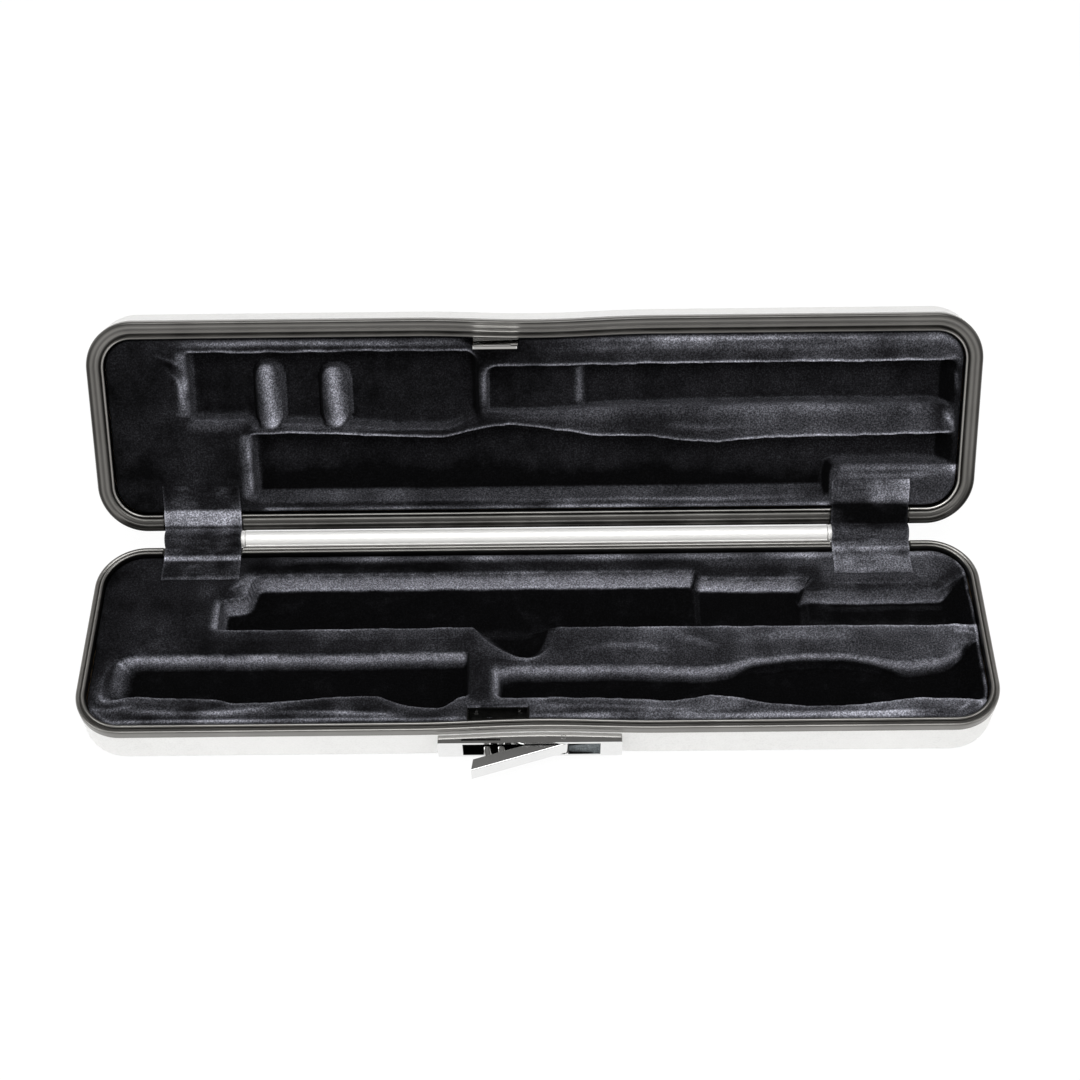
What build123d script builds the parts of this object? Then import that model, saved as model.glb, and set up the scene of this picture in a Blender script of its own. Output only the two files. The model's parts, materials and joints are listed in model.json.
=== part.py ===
from build123d import *
from math import asin, cos, degrees, radians, sin
import os

# Flute case, lid standing open. Millimetres. Origin: centre of the base's flat underside.
# +X along the case, the latch side faces -Y, the hinge side +Y, +Z up.

# ---------------------------------------------------------------- driving dimensions
case_length = 430.0
case_depth = 105.0
corner_radius = 23.0
base_height = 26.0           # underside to rim plane
lid_height = 24.0            # rim plane to top panel
rim_gap = 0.2                # between the two rims when shut
panel_edge_radius = 6.0      # rounding round the bottom and the top panel
cover_thickness = 0.8        # leatherette
wall_thickness = 2.6         # shell side walls
base_floor = 4.0
lid_floor = 2.2
piece_clearance = 0.3        # soft or loose pieces against their neighbours
seat_gap = 0.1               # metal against covering

latch_bow_depth = 1.4        # the front rim bows in behind the latch
latch_bow_span = 116.0

# metal rims, sizes measured inward from the case's outer edge
rim_sheet = 0.7
rim_skirt = 4.2              # visible height of the outer skirt
base_bead_width = 2.1
rim_groove = 0.7
tongue_width = 1.6
tongue_rise = 0.8
base_inner_skirt = 4.2
lid_bead_width = 1.8
lid_band_width = 5.1
lid_band_recess = 1.2
lid_lip_width = 1.7
lid_inner_skirt = 3.0
rim_round = 0.5

# hinge
hinge_setback = 4.3          # axis behind the back wall
open_angle = 125.0
barrel_radius = 3.9
hinge_pin_radius = 1.5
pin_clearance = 0.05
end_knuckle = 38.0
knuckle_gap = 0.4
hinge_end_margin = 33.1      # from the end knuckles to the case's ends
leaf_thickness = 0.8
leaf_height = 11.0
hinge_head_radius = 2.6
hinge_head_height = 0.8
rivet_radius = 1.1
rivet_head_radius = 2.1
rivet_head_height = 0.8
rivet_head_round = 0.55
rivet_grip = 2.4             # how far a rivet goes into covering and shell
rivet_drop = 6.8             # rivet line from the hinge axis
centre_rivets = 6
end_rivet_spacing = 20.0

# velvet straps over the hinge ends
strap_width = 38.5
strap_end_margin = 50.5      # from a strap's middle to the case's end
strap_thickness = 0.8
strap_lap = 14.0             # length lying on each lining
strap_slope = 2.0            # where it climbs from the lining to the rim
strap_spread = 0.6           # strap's middle line, from the plane where the rims meet
strap_bend = 0.55            # radius of its bends
base_strap_relief = 1.0      # rims are pressed down under the straps
lid_strap_relief = 1.2

# linings
lining_drop = 2.0            # velvet surface below the rim plane
lining_foot_round = 1.6      # clears the rounding inside the shells
lining_edge_round = 1.2      # velvet rolled over at the cavities and along the rims
cut_margin = 0.7             # how far a cutting form runs past what it cuts
lid_lining_neck = 1.5        # height of the part that comes up inside the lid's rim
cavity_corner_round = 4.6
cavity_floor_round = 4.0

# base cavities: depth below the velvet surface, then the outline seen from above
body_cavity = (13.5, ((-150, 7), (-142, 4.6), (84, 4.6), (84, 37.8), (-138, 37.8), (-142, 24), (-150, 22)))
body_step = (11.5, ((60, 4.6), (126, 4.6), (127, 24), (133, 33.8), (60, 33.8)))
body_tenon = (8.0, ((110, 4.6), (198, 4.6), (198, 25), (110, 25)))
finger_notch = (9.0, ((-30, 14), (-28, 3), (-9, -12.8), (11, 3), (13, 14)))
foot_cavity = (12.5, ((-201, -15), (-194, -8.6), (-32.6, -8.6), (-32.6, -33), (-40, -34.5), (-48, -39),
                      (-58, -38), (-70, -32.6), (-84, -32.2), (-141, -35.6), (-152, -33), (-190, -31),
                      (-201, -24)))
head_cavity = (12.5, ((-18.8, -16.5), (30, -16), (78, -17.7), (100, -13), (148, -11.2), (170, -16),
                      (197, -13.5), (203, -35.5), (177, -36.2), (145, -39.8), (126, -39.8), (104, -37.5),
                      (81, -33.5), (61, -36.5), (37, -34.6), (-18.8, -33.4)))

# lid cavities in the same way, seen from above with the lid shut
lid_foot_cavity = (10.0, ((-168, -36.5), (-29, -36.5), (-27, -4), (-48, 0.5), (-137, 0.5), (-141, -5.5),
                          (-168, -5.5)))
lid_head_cavity = (10.0, ((27, -29.6), (193, -29), (194, -8), (27, -9.5)))
lid_crown_cavity = (6.5, ((-21, -27.5), (22, -28), (22, -8), (-19, -6.5)))
lid_body_cavity = (10.0, ((-138, 5.2), (-60, 7.2), (-12, 1.4), (28, 6.8), (88, 11), (144, 9), (144, 40),
                          (-136, 40)))
lid_tenon_cavity = (10.0, ((120, 9), (195, 8), (195, 22.7), (120, 22.7)))
bump_middles = ((-127.5, -15), (-95.5, -15))
bump_width = 15.5
bump_length = 34.0
bump_height = 7.0
bump_round = 5.0
bump_crown_round = 4.5

# latch
latch_centre = -3.5
latch_length = 85.0
latch_height = 12.6
latch_projection = 4.2       # front face ahead of the case's front edge
latch_level = 15.0           # centre line above the underside
latch_sheet = 0.8
latch_corner_round = 0.55
window_start = -34.5
window_end = 29.0
window_height = 9.8
plate_slot_start = -35.0
plate_slot_end = -17.0
plate_slot_width = 1.2
plate_slot_inset = 1.2       # slot behind the plate's front face
pan_sheet = 0.5
pan_depth = 5.8              # from the plate's inner face to the back of the pan
pan_clearance = 0.2          # round the pan in the wall
lever_length = 45.1          # pivot to tip
lever_height = 8.4
lever_depth = 5.5
lever_sheet = 0.8
lever_edge_round = 0.5
lever_tip_slope = 2.6
lever_open = 17.0            # swung out from its closed place in the photograph
pivot_x = 12.0
pivot_radius = 1.2
pivot_chamfer = 0.25
stud_radius = 1.5
stud_inset = 4.8             # studs in from the plate's ends
hook_radii = (35.4, 28.9)    # the two hooks swing on these radii about the pivot
hook_width = 3.8
hook_thickness = 2.4
hook_level = 17.8
hook_reach = 13.9            # past the pivot, towards the hinge
hook_tip_round = 0.8

# striker on the lid and its metal well in the base
striker_start = -29.0
striker_end = -7.6
striker_thickness = 1.2
striker_face = 12.1          # plate's back face, in from the front edge
striker_bar = 1.8
striker_clearance = 0.6
well_reach = 1.7             # room in the well behind the striker, where the hooks end
striker_web = 5.0            # web above the rim plane
striker_flange = 6.0
striker_screw_inset = 5.0
screw_radius = 0.9
screw_head_radius = 1.8
screw_head_height = 0.6
screw_length = 3.2
screw_head_sink = 0.5        # heads let into the flange, so that they seat flat on its curve
well_margin = 3.0            # between the striker and the well's ends
well_sheet = 0.6
well_ear = 4.0
tack_radius = 0.6
tack_head_radius = 1.1
tack_head_height = 0.4
tack_length = 3.0
tack_inset = 3.5
tack_level = 17.9
lid_pocket_start = -35.0     # opening in the lid's lining round the striker
lid_pocket_end = -6.6
lid_pocket_depth = 12.0
lid_pocket_reach = 14.7      # in from the front edge

# ---------------------------------------------------------------- derived places
front = -case_depth / 2
back = case_depth / 2
rim_z = base_height
wall_inside = cover_thickness + wall_thickness
hinge_y = back + hinge_setback
hinge_z = rim_z + rim_gap / 2
shell_floor = cover_thickness + base_floor
lid_shell_floor = lid_height - cover_thickness - lid_floor
tongue_start = base_bead_width + rim_groove
base_rim_width = tongue_start + tongue_width
lip_start = lid_bead_width + lid_band_width
lid_rim_width = lip_start + lid_lip_width
lining_inset = base_rim_width + piece_clearance
lining_top = rim_z - lining_drop
base_skirt_z = rim_z - rim_skirt
centre_knuckle = case_length - 2 * (hinge_end_margin + end_knuckle + knuckle_gap)
strap_offset = case_length / 2 - strap_end_margin

plate_face = front - latch_projection
plate_inner = plate_face + latch_sheet
plate_low, plate_high = latch_level - latch_height / 2, latch_level + latch_height / 2
plate_start, plate_end = latch_centre - latch_length / 2, latch_centre + latch_length / 2
window_low, window_high = latch_level - window_height / 2, latch_level + window_height / 2
pan_back = plate_inner + pan_depth
lever_low = latch_level - lever_height / 2
pivot_y = plate_face + lever_depth / 2
hook_low, hook_high = hook_level - hook_thickness / 2, hook_level + hook_thickness / 2
striker_back = front + striker_face
striker_front = striker_back - striker_thickness

# The lid is drawn shut, with z = 0 on its rim plane, and stands in this plane when open.
lid_open = Location((0, hinge_y, hinge_z), (-open_angle, 0, 0))
lid_plane = Plane(lid_open * Location((0, -hinge_y, rim_gap / 2)))
# The lever is drawn shut round its pivot and stands in this plane when swung out.
lever_plane = Plane(Location((pivot_x, pivot_y, 0), (0, 0, lever_open)))

os.makedirs("parts", exist_ok=True)


# ---------------------------------------------------------------- shared forms
def case_outline(inset=0.0):
    """The case seen from above, moved in from its outer edge by inset."""
    left, right = -case_length / 2, case_length / 2
    reach = latch_bow_span / 2
    crest = (reach / 2, front + latch_bow_depth / 2)
    with BuildSketch() as outline:
        with BuildLine():
            Line((left + corner_radius, front), (-reach, front))
            TangentArc((-reach, front), (-crest[0], crest[1]), tangent=(1, 0))
            ThreePointArc((-crest[0], crest[1]), (0, front + latch_bow_depth), crest)
            TangentArc((reach, front), crest, tangent=(-1, 0))
            Line((reach, front), (right - corner_radius, front))
            RadiusArc((right - corner_radius, front), (right, front + corner_radius), -corner_radius)
            Line((right, front + corner_radius), (right, back - corner_radius))
            RadiusArc((right, back - corner_radius), (right - corner_radius, back), -corner_radius)
            Line((right - corner_radius, back), (left + corner_radius, back))
            RadiusArc((left + corner_radius, back), (left, back - corner_radius), -corner_radius)
            Line((left, back - corner_radius), (left, front + corner_radius))
            RadiusArc((left, front + corner_radius), (left + corner_radius, front), -corner_radius)
        make_face()
        if inset:
            offset(amount=-inset)
    return outline.sketch


def slab(inset, z_from, z_to, edge_radius=0.0, rounded_z=None):
    """The outline raised from z_from to z_to, with one end's edge rounded."""
    with BuildPart() as block:
        with BuildSketch(Plane.XY.offset(z_from)):
            add(case_outline(inset))
        extrude(amount=z_to - z_from)
        if edge_radius:
            end = 0 if rounded_z == z_from else -1
            fillet(block.edges().group_by(Axis.Z)[end], edge_radius)
    return block.part


def ring(inset_out, inset_in, z_from, z_to, top_round=0.0, bottom_round=0.0):
    """A rail that follows the outline between two insets."""
    with BuildPart() as rail:
        with BuildSketch(Plane.XY.offset(z_from)):
            add(case_outline(inset_out))
            add(case_outline(inset_in), mode=Mode.SUBTRACT)
        extrude(amount=z_to - z_from)
        if top_round:
            fillet(rail.edges().group_by(Axis.Z)[-1], top_round)
        if bottom_round:
            fillet(rail.edges().group_by(Axis.Z)[0], bottom_round)
    return rail.part


def tray(inset, wall, panel_z, floor_z, rim, edge_radius):
    """An open shell: outside panel at panel_z, inside floor at floor_z, walls up to rim."""
    low, high = min(panel_z, rim), max(panel_z, rim)
    hollow_low, hollow_high = min(floor_z, rim), max(floor_z, rim)
    with BuildPart() as shell:
        add(slab(inset, low, high, edge_radius, panel_z))
        add(slab(inset + wall, hollow_low, hollow_high, edge_radius - wall, floor_z),
            mode=Mode.SUBTRACT)
    return shell.part


def x_block(x_from, x_to, y_from, y_to, z_from, z_to):
    """A plain block between stated limits."""
    with BuildPart() as block:
        with BuildSketch(Plane.XY.offset(z_from)):
            with Locations(((x_from + x_to) / 2, (y_from + y_to) / 2)):
                Rectangle(x_to - x_from, y_to - y_from)
        extrude(amount=z_to - z_from)
    return block.part


def fasteners(places, seat_y, radius, length, head_radius=0.0, head_height=0.0, head_side=1, head_round=0.0):
    """Round shanks that run forward (+1) or back from a seat, with heads on the other side."""
    seat = Plane.XZ.offset(-seat_y)
    with BuildPart() as group:
        with BuildSketch(seat):
            with Locations(*places):
                Circle(radius)
        extrude(amount=head_side * length)
        if head_radius:
            with BuildSketch(seat):
                with Locations(*places):
                    Circle(head_radius)
            extrude(amount=-head_side * head_height)
        if head_round:
            outer = -1 if head_side > 0 else 0
            fillet(group.edges().group_by(Axis.Y)[outer], head_round)
    return group.part


def finish(builder, name):
    builder.part.label = name
    export_step(builder.part, f"parts/{name}.step")


# ---------------------------------------------------------------- openings that several pieces share
wall_window = x_block(window_start - pan_sheet - pan_clearance, window_end + pan_sheet + pan_clearance,
                      front, front + latch_bow_depth + wall_inside,
                      window_low - pan_sheet - pan_clearance, window_high + pan_sheet + pan_clearance)

stud_places = [(plate_start + stud_inset, latch_level), (plate_end - stud_inset, latch_level)]
stud_seat = front + wall_inside
stud_holes = fasteners(stud_places, stud_seat + latch_bow_depth, stud_radius + pin_clearance,
                       stud_seat + latch_bow_depth - plate_inner)

striker_web_top = striker_web + striker_thickness
flange_top = striker_web + striker_flange
striker_screw_z = (striker_web_top + flange_top) / 2
striker_screw_places = [(striker_start + striker_screw_inset, striker_screw_z),
                        (striker_end - striker_screw_inset, striker_screw_z)]
striker_screw_seat = front + latch_bow_depth + wall_inside + striker_thickness - screw_head_sink
striker_screw_holes = fasteners(striker_screw_places, striker_screw_seat, screw_radius + pin_clearance,
                                screw_length + pin_clearance, screw_head_radius + pin_clearance,
                                screw_head_height)

# ---------------------------------------------------------------- hinge
leaf_y = back + seat_gap
leaf_face = leaf_y + leaf_thickness
rivet_length = leaf_thickness + seat_gap + rivet_grip
centre_rivet_pitch = centre_knuckle / centre_rivets
end_middle = centre_knuckle / 2 + knuckle_gap + end_knuckle / 2
lid_axis_z = -rim_gap / 2
base_rivet_places = [((i + 0.5 - centre_rivets / 2) * centre_rivet_pitch, hinge_z - rivet_drop)
                     for i in range(centre_rivets)]
lid_rivet_places = [(side * end_middle + step * end_rivet_spacing / 2, lid_axis_z + rivet_drop)
                    for side in (-1, 1) for step in (-1, 1)]
base_rivet_holes = fasteners(base_rivet_places, leaf_face, rivet_radius + pin_clearance, rivet_length)
lid_rivet_holes = fasteners(lid_rivet_places, leaf_face, rivet_radius + pin_clearance, rivet_length)


def knuckle(x_middle, length, axis_z, leaf_sign):
    """A length of hinge barrel with its leaf hanging (-1) or standing (+1) on the back wall."""
    with BuildPart() as piece:
        with BuildSketch(Plane.YZ.offset(x_middle - length / 2)):
            with Locations((hinge_y, axis_z)):
                Circle(barrel_radius)
            with Locations((leaf_y + leaf_thickness / 2, axis_z + leaf_sign * leaf_height / 2)):
                Rectangle(leaf_thickness, leaf_height)
            with Locations((hinge_y, axis_z)):
                Circle(hinge_pin_radius + pin_clearance, mode=Mode.SUBTRACT)
        extrude(amount=length)
    return piece.part


with BuildPart() as hinge_centre:
    add(knuckle(0, centre_knuckle, hinge_z, -1))
    add(base_rivet_holes, mode=Mode.SUBTRACT)
finish(hinge_centre, "hinge_centre_knuckle")

with BuildPart() as base_hinge_rivets:
    add(fasteners(base_rivet_places, leaf_face, rivet_radius, rivet_length, rivet_head_radius,
                  rivet_head_height, head_round=rivet_head_round))
finish(base_hinge_rivets, "base_hinge_rivets")

for side, name in ((-1, "hinge_end_left"), (1, "hinge_end_right")):
    with BuildPart(lid_plane) as hinge_end:
        add(knuckle(side * end_middle, end_knuckle, lid_axis_z, 1))
        add(lid_rivet_holes, mode=Mode.SUBTRACT)
    finish(hinge_end, name)

with BuildPart(lid_plane) as lid_hinge_rivets:
    add(fasteners(lid_rivet_places, leaf_face, rivet_radius, rivet_length, rivet_head_radius,
                  rivet_head_height, head_round=rivet_head_round))
finish(lid_hinge_rivets, "lid_hinge_rivets")

pin_half = end_middle + end_knuckle / 2 + knuckle_gap / 2
with BuildPart() as hinge_pin:
    with BuildSketch(Plane.YZ.offset(-pin_half)):
        with Locations((hinge_y, hinge_z)):
            Circle(hinge_pin_radius)
    extrude(amount=2 * pin_half)
    for end in (-1, 1):
        with BuildSketch(Plane.YZ.offset(end * pin_half)):
            with Locations((hinge_y, hinge_z)):
                Circle(hinge_head_radius)
        extrude(amount=end * hinge_head_height)
finish(hinge_pin, "hinge_pin")

# ---------------------------------------------------------------- base covering, shell and rim
with BuildPart() as base_covering:
    add(tray(0, cover_thickness, 0, cover_thickness, base_skirt_z - seat_gap, panel_edge_radius))
    add(wall_window, mode=Mode.SUBTRACT)
    add(stud_holes, mode=Mode.SUBTRACT)
    add(base_rivet_holes, mode=Mode.SUBTRACT)
finish(base_covering, "base_covering")

with BuildPart() as base_shell:
    add(tray(cover_thickness, wall_thickness, cover_thickness, shell_floor,
             rim_z - 2 * rim_sheet - seat_gap, panel_edge_radius - cover_thickness))
    add(wall_window, mode=Mode.SUBTRACT)
    add(stud_holes, mode=Mode.SUBTRACT)
    add(base_rivet_holes, mode=Mode.SUBTRACT)
finish(base_shell, "base_shell")


def strap_reliefs(z_from, z_to):
    """Blocks that lower the back rim under the two straps."""
    half = strap_width / 2 + piece_clearance
    with BuildPart() as reliefs:
        for side in (-1, 1):
            add(x_block(side * strap_offset - half, side * strap_offset + half,
                        back - lid_rim_width - cut_margin, back + cut_margin, z_from, z_to))
    return reliefs.part


bead_floor = rim_z - 2 * rim_sheet
with BuildPart() as base_rim:
    add(ring(0, rim_sheet, base_skirt_z, rim_z - rim_round))
    add(ring(0, base_bead_width, bead_floor, rim_z, top_round=rim_round))
    add(ring(base_bead_width - rim_sheet, tongue_start + rim_sheet, bead_floor, rim_z - rim_sheet))
    add(ring(tongue_start, base_rim_width, bead_floor, rim_z + tongue_rise, top_round=rim_round))
    add(ring(base_rim_width - rim_sheet, base_rim_width, rim_z - base_inner_skirt, rim_z))
    add(strap_reliefs(rim_z - base_strap_relief, rim_z + tongue_rise), mode=Mode.SUBTRACT)
finish(base_rim, "base_rim")

# ---------------------------------------------------------------- lid covering, shell and rim
band_top = lid_band_recess + rim_sheet
with BuildPart(lid_plane) as lid_covering:
    add(tray(0, cover_thickness, lid_height, lid_height - cover_thickness, rim_skirt + seat_gap,
             panel_edge_radius))
    add(lid_rivet_holes, mode=Mode.SUBTRACT)
finish(lid_covering, "lid_covering")

with BuildPart(lid_plane) as lid_shell:
    add(tray(cover_thickness, wall_thickness, lid_height - cover_thickness, lid_shell_floor,
             band_top + seat_gap, panel_edge_radius - cover_thickness))
    add(lid_rivet_holes, mode=Mode.SUBTRACT)
    add(striker_screw_holes, mode=Mode.SUBTRACT)
finish(lid_shell, "lid_shell")

with BuildPart(lid_plane) as lid_rim:
    add(ring(0, rim_sheet, rim_round, rim_skirt))
    add(ring(0, lid_bead_width, 0, lid_band_recess, bottom_round=rim_round))
    add(ring(lid_bead_width - rim_sheet, lip_start + rim_sheet, lid_band_recess, band_top))
    add(ring(lip_start, lid_rim_width, 0, band_top, bottom_round=rim_round))
    add(ring(lid_rim_width - rim_sheet, lid_rim_width, rim_sheet, lid_inner_skirt))
    add(strap_reliefs(0, lid_strap_relief), mode=Mode.SUBTRACT)
finish(lid_rim, "lid_rim")


# ---------------------------------------------------------------- latch: plate, pan, pivot, studs
def pivot_bore():
    """The pivot's bore through the top and bottom of the latch."""
    with BuildPart() as bore:
        with BuildSketch(Plane.XY.offset(plate_low)):
            with Locations((pivot_x, pivot_y)):
                Circle(pivot_radius + pin_clearance)
        extrude(amount=latch_height)
    return bore.part


def hook_slot(y_near, y_far):
    """X limits of a slot that lets both hooks swing through between two lines."""
    outer = max(hook_radii) + hook_width / 2
    inner = min(hook_radii) - hook_width / 2
    start = pivot_x - (outer ** 2 - (y_near - pivot_y) ** 2) ** 0.5
    end = pivot_x - (inner ** 2 - (y_far - pivot_y) ** 2) ** 0.5
    return start - striker_clearance, end + striker_clearance


with BuildPart() as latch_plate:
    add(x_block(plate_start, plate_end, plate_face, front + latch_bow_depth, plate_low, plate_high))
    fillet(latch_plate.edges().filter_by(Axis.Y), latch_corner_round)
    add(x_block(plate_start + latch_sheet, plate_end - latch_sheet, plate_inner, front + latch_bow_depth,
                plate_low + latch_sheet, plate_high - latch_sheet), mode=Mode.SUBTRACT)
    add(x_block(window_start, window_end, plate_face, plate_inner, window_low, window_high),
        mode=Mode.SUBTRACT)
    add(x_block(plate_slot_start, plate_slot_end, plate_face + plate_slot_inset,
                plate_face + plate_slot_inset + plate_slot_width, plate_high - latch_sheet, plate_high),
        mode=Mode.SUBTRACT)
    add(slab(0, 0, rim_z), mode=Mode.SUBTRACT)
    add(pivot_bore(), mode=Mode.SUBTRACT)
finish(latch_plate, "latch_plate")

pan_slot_start, pan_slot_end = hook_slot(pan_back - pan_sheet, pan_back)
with BuildPart() as latch_pan:
    add(x_block(window_start - pan_sheet, window_end + pan_sheet, plate_inner, pan_back,
                window_low - pan_sheet, window_high + pan_sheet))
    add(x_block(window_start, window_end, plate_inner, pan_back - pan_sheet, window_low, window_high),
        mode=Mode.SUBTRACT)
    add(x_block(pan_slot_start, pan_slot_end, pan_back - pan_sheet, pan_back,
                hook_low - striker_clearance, hook_high + striker_clearance), mode=Mode.SUBTRACT)
    add(pivot_bore(), mode=Mode.SUBTRACT)
finish(latch_pan, "latch_pan")

with BuildPart() as latch_studs:
    add(fasteners(stud_places, stud_seat, stud_radius, stud_seat - plate_inner))
finish(latch_studs, "latch_studs")

with BuildPart() as latch_pivot:
    with BuildSketch(Plane.XY.offset(plate_low)):
        with Locations((pivot_x, pivot_y)):
            Circle(pivot_radius)
    extrude(amount=latch_height)
    chamfer(latch_pivot.edges().filter_by(GeomType.CIRCLE), pivot_chamfer)
finish(latch_pivot, "latch_pivot")

# ---------------------------------------------------------------- latch lever with its two hooks
lever_front = -lever_depth / 2
lever_back = lever_depth / 2


def lever_hook(radius):
    """A curved hook about the pivot, from the lever's front sheet back through the wall."""
    tip = 180 - degrees(asin(hook_reach / radius))
    root = 180 - degrees(asin((lever_front + lever_sheet / 2) / radius))
    across = (cos(radians(tip)), sin(radians(tip)), 0)
    section = Plane(origin=(0, 0, hook_level), x_dir=across, z_dir=(across[1], -across[0], 0))
    with BuildPart() as hook:
        with BuildSketch(section):
            with Locations((radius, 0)):
                SlotOverall(hook_width, hook_thickness)
        revolve(axis=Axis.Z, revolution_arc=root - tip)
        fillet(hook.faces().sort_by(Axis.Y)[-1].edges(), hook_tip_round)
    return hook.part


def shut_lever():
    """The lever drawn shut about its pivot: a channel open at the back, and the two hooks."""
    hollow_end = lever_back - lever_sheet
    with BuildPart() as lever:
        with BuildSketch(Plane.XY.offset(lever_low)):
            with BuildLine():
                Polyline((0, lever_front), (-lever_length, lever_front),
                         (-lever_length + lever_tip_slope, lever_back), (0, lever_back), close=True)
            make_face()
            Circle(lever_back)
        extrude(amount=lever_height)
        fillet(lever.edges().filter_by(Axis.X).group_by(Axis.Y)[0], lever_edge_round)
        with BuildSketch(Plane.XY.offset(lever_low + lever_sheet)):
            with BuildLine():
                Polyline((-lever_back, lever_front + lever_sheet),
                         (-lever_length + lever_sheet, lever_front + lever_sheet),
                         (-lever_length + lever_sheet + lever_tip_slope, lever_back),
                         (-lever_back, lever_back), close=True)
            make_face()
        extrude(amount=lever_height - 2 * lever_sheet, mode=Mode.SUBTRACT)
        for hook_radius in hook_radii:
            add(lever_hook(hook_radius))
        with BuildSketch(Plane.XY.offset(lever_low)):
            Circle(pivot_radius + pin_clearance)
        extrude(amount=lever_height, mode=Mode.SUBTRACT)
    return lever.part


with BuildPart(lever_plane) as latch_lever:
    add(shut_lever())
finish(latch_lever, "latch_lever")

# ---------------------------------------------------------------- striker on the lid
lid_rim_z = rim_z + rim_gap                 # the lid's rim plane when it is shut
eye_low = hook_low - striker_clearance - lid_rim_z
eye_high = hook_high + striker_clearance - lid_rim_z
striker_low = eye_low - striker_bar
eye_start, eye_end = hook_slot(striker_front, striker_back)


def striker_flange_bar():
    """The flange on the inside of the lid's front wall, and the web that carries the plate."""
    with BuildPart() as bar:
        add(slab(wall_inside, striker_web, flange_top))
        add(slab(wall_inside + striker_thickness, striker_web_top, flange_top), mode=Mode.SUBTRACT)
        add(x_block(striker_start, striker_end, front, striker_back, striker_web, flange_top),
            mode=Mode.INTERSECT)
    return bar.part


def shut_striker():
    """The striker drawn with the lid shut: a plate with an eye for the hooks."""
    with BuildPart() as striker:
        add(x_block(striker_start, striker_end, striker_front, striker_back, striker_low, striker_web_top))
        fillet(striker.edges().filter_by(Axis.Y).group_by(Axis.Z)[0], striker_thickness)
        add(x_block(eye_start, eye_end, striker_front, striker_back, eye_low, eye_high),
            mode=Mode.SUBTRACT)
        add(striker_flange_bar())
        add(striker_screw_holes, mode=Mode.SUBTRACT)
    return striker.part


with BuildPart(lid_plane) as lid_striker:
    add(shut_striker())
finish(lid_striker, "lid_striker")

with BuildPart(lid_plane) as striker_screws:
    add(fasteners(striker_screw_places, striker_screw_seat, screw_radius, screw_length,
                  screw_head_radius, screw_head_height))
finish(striker_screws, "striker_screws")

# ---------------------------------------------------------------- well that takes the striker
well_start, well_end = striker_start - well_margin - well_sheet, striker_end + well_margin + well_sheet
well_inner_back = striker_back + well_reach
well_back = well_inner_back + well_sheet
well_low = striker_low + lid_rim_z - 2 * striker_clearance - well_sheet
well_high = rim_z - base_inner_skirt - seat_gap
tack_places = [(well_start + well_sheet + tack_inset, tack_level),
               (well_end - well_sheet - tack_inset, tack_level)]
tack_holes = fasteners(tack_places, well_inner_back, tack_radius + pin_clearance, tack_length, head_side=-1)

with BuildPart() as striker_well:
    add(slab(wall_inside, well_low, well_high))
    add(slab(wall_inside + well_sheet, well_low, well_high), mode=Mode.SUBTRACT)
    add(x_block(well_start - well_ear, well_end + well_ear, front, well_back, well_low, well_high),
        mode=Mode.INTERSECT)
    add(x_block(well_start, well_end, front + latch_bow_depth + wall_inside, well_back,
                well_low, well_high))
    add(x_block(well_start + well_sheet, well_end - well_sheet, front, well_inner_back,
                well_low + well_sheet, well_high), mode=Mode.SUBTRACT)
    add(tack_holes, mode=Mode.SUBTRACT)
finish(striker_well, "striker_well")

with BuildPart() as well_tacks:
    add(fasteners(tack_places, well_inner_back, tack_radius, tack_length, tack_head_radius,
                  tack_head_height, head_side=-1))
finish(well_tacks, "well_tacks")


# ---------------------------------------------------------------- velvet linings
def cavity(form, opening_z, direction):
    """A moulded recess to cut away: a rolled mouth, rounded corners, walls that curve into the floor."""
    depth, points = form
    with BuildPart() as recess:
        with BuildSketch(Plane.XY.offset(opening_z)) as mouth:
            with BuildLine() as edge:
                Polyline(*points, close=True)
            make_face()
            fillet(edge.vertices(), cavity_corner_round)
        extrude(amount=direction * depth)
        with BuildSketch(Plane.XY.offset(opening_z)):
            add(mouth.sketch_local)
            offset(amount=lining_edge_round + cut_margin)
        extrude(amount=-direction * cut_margin)
        floor_end = 0 if direction < 0 else -1
        fillet(recess.edges().group_by(Axis.Z)[floor_end], cavity_floor_round)
        roll = recess.faces().filter_by(Axis.Z).sort_by(Axis.Z)[1].inner_wires()
        fillet(roll.edges(), lining_edge_round)
    return recess.part


with BuildPart() as base_lining:
    add(slab(lining_inset, shell_floor, lining_top, lining_foot_round, shell_floor))
    fillet(base_lining.edges().group_by(Axis.Z)[-1], lining_edge_round)
    for form in (body_cavity, body_step, body_tenon, finger_notch, foot_cavity, head_cavity):
        add(cavity(form, lining_top, -1), mode=Mode.SUBTRACT)
    add(x_block(well_start - well_ear - piece_clearance, well_end + well_ear + piece_clearance,
                front, front + latch_bow_depth + wall_inside + well_sheet + piece_clearance,
                well_low - piece_clearance, well_high + piece_clearance), mode=Mode.SUBTRACT)
    add(x_block(well_start, well_end, front, well_back, well_low, well_high), mode=Mode.SUBTRACT)
    add(x_block(well_start + well_sheet, well_end - well_sheet, front, well_inner_back,
                well_high, lining_top), mode=Mode.SUBTRACT)
    add(tack_holes, mode=Mode.SUBTRACT)
finish(base_lining, "base_lining")


def lid_bump(middle):
    """A padded rib across the lid's foot cavity."""
    floor_z = lining_drop + lid_foot_cavity[0]
    with BuildPart() as bump:
        with BuildSketch(Plane.XY.offset(floor_z)):
            with Locations(middle):
                RectangleRounded(bump_width, bump_length, bump_round)
        extrude(amount=-bump_height)
        fillet(bump.edges().group_by(Axis.Z)[0], bump_crown_round)
    return bump.part


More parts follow.
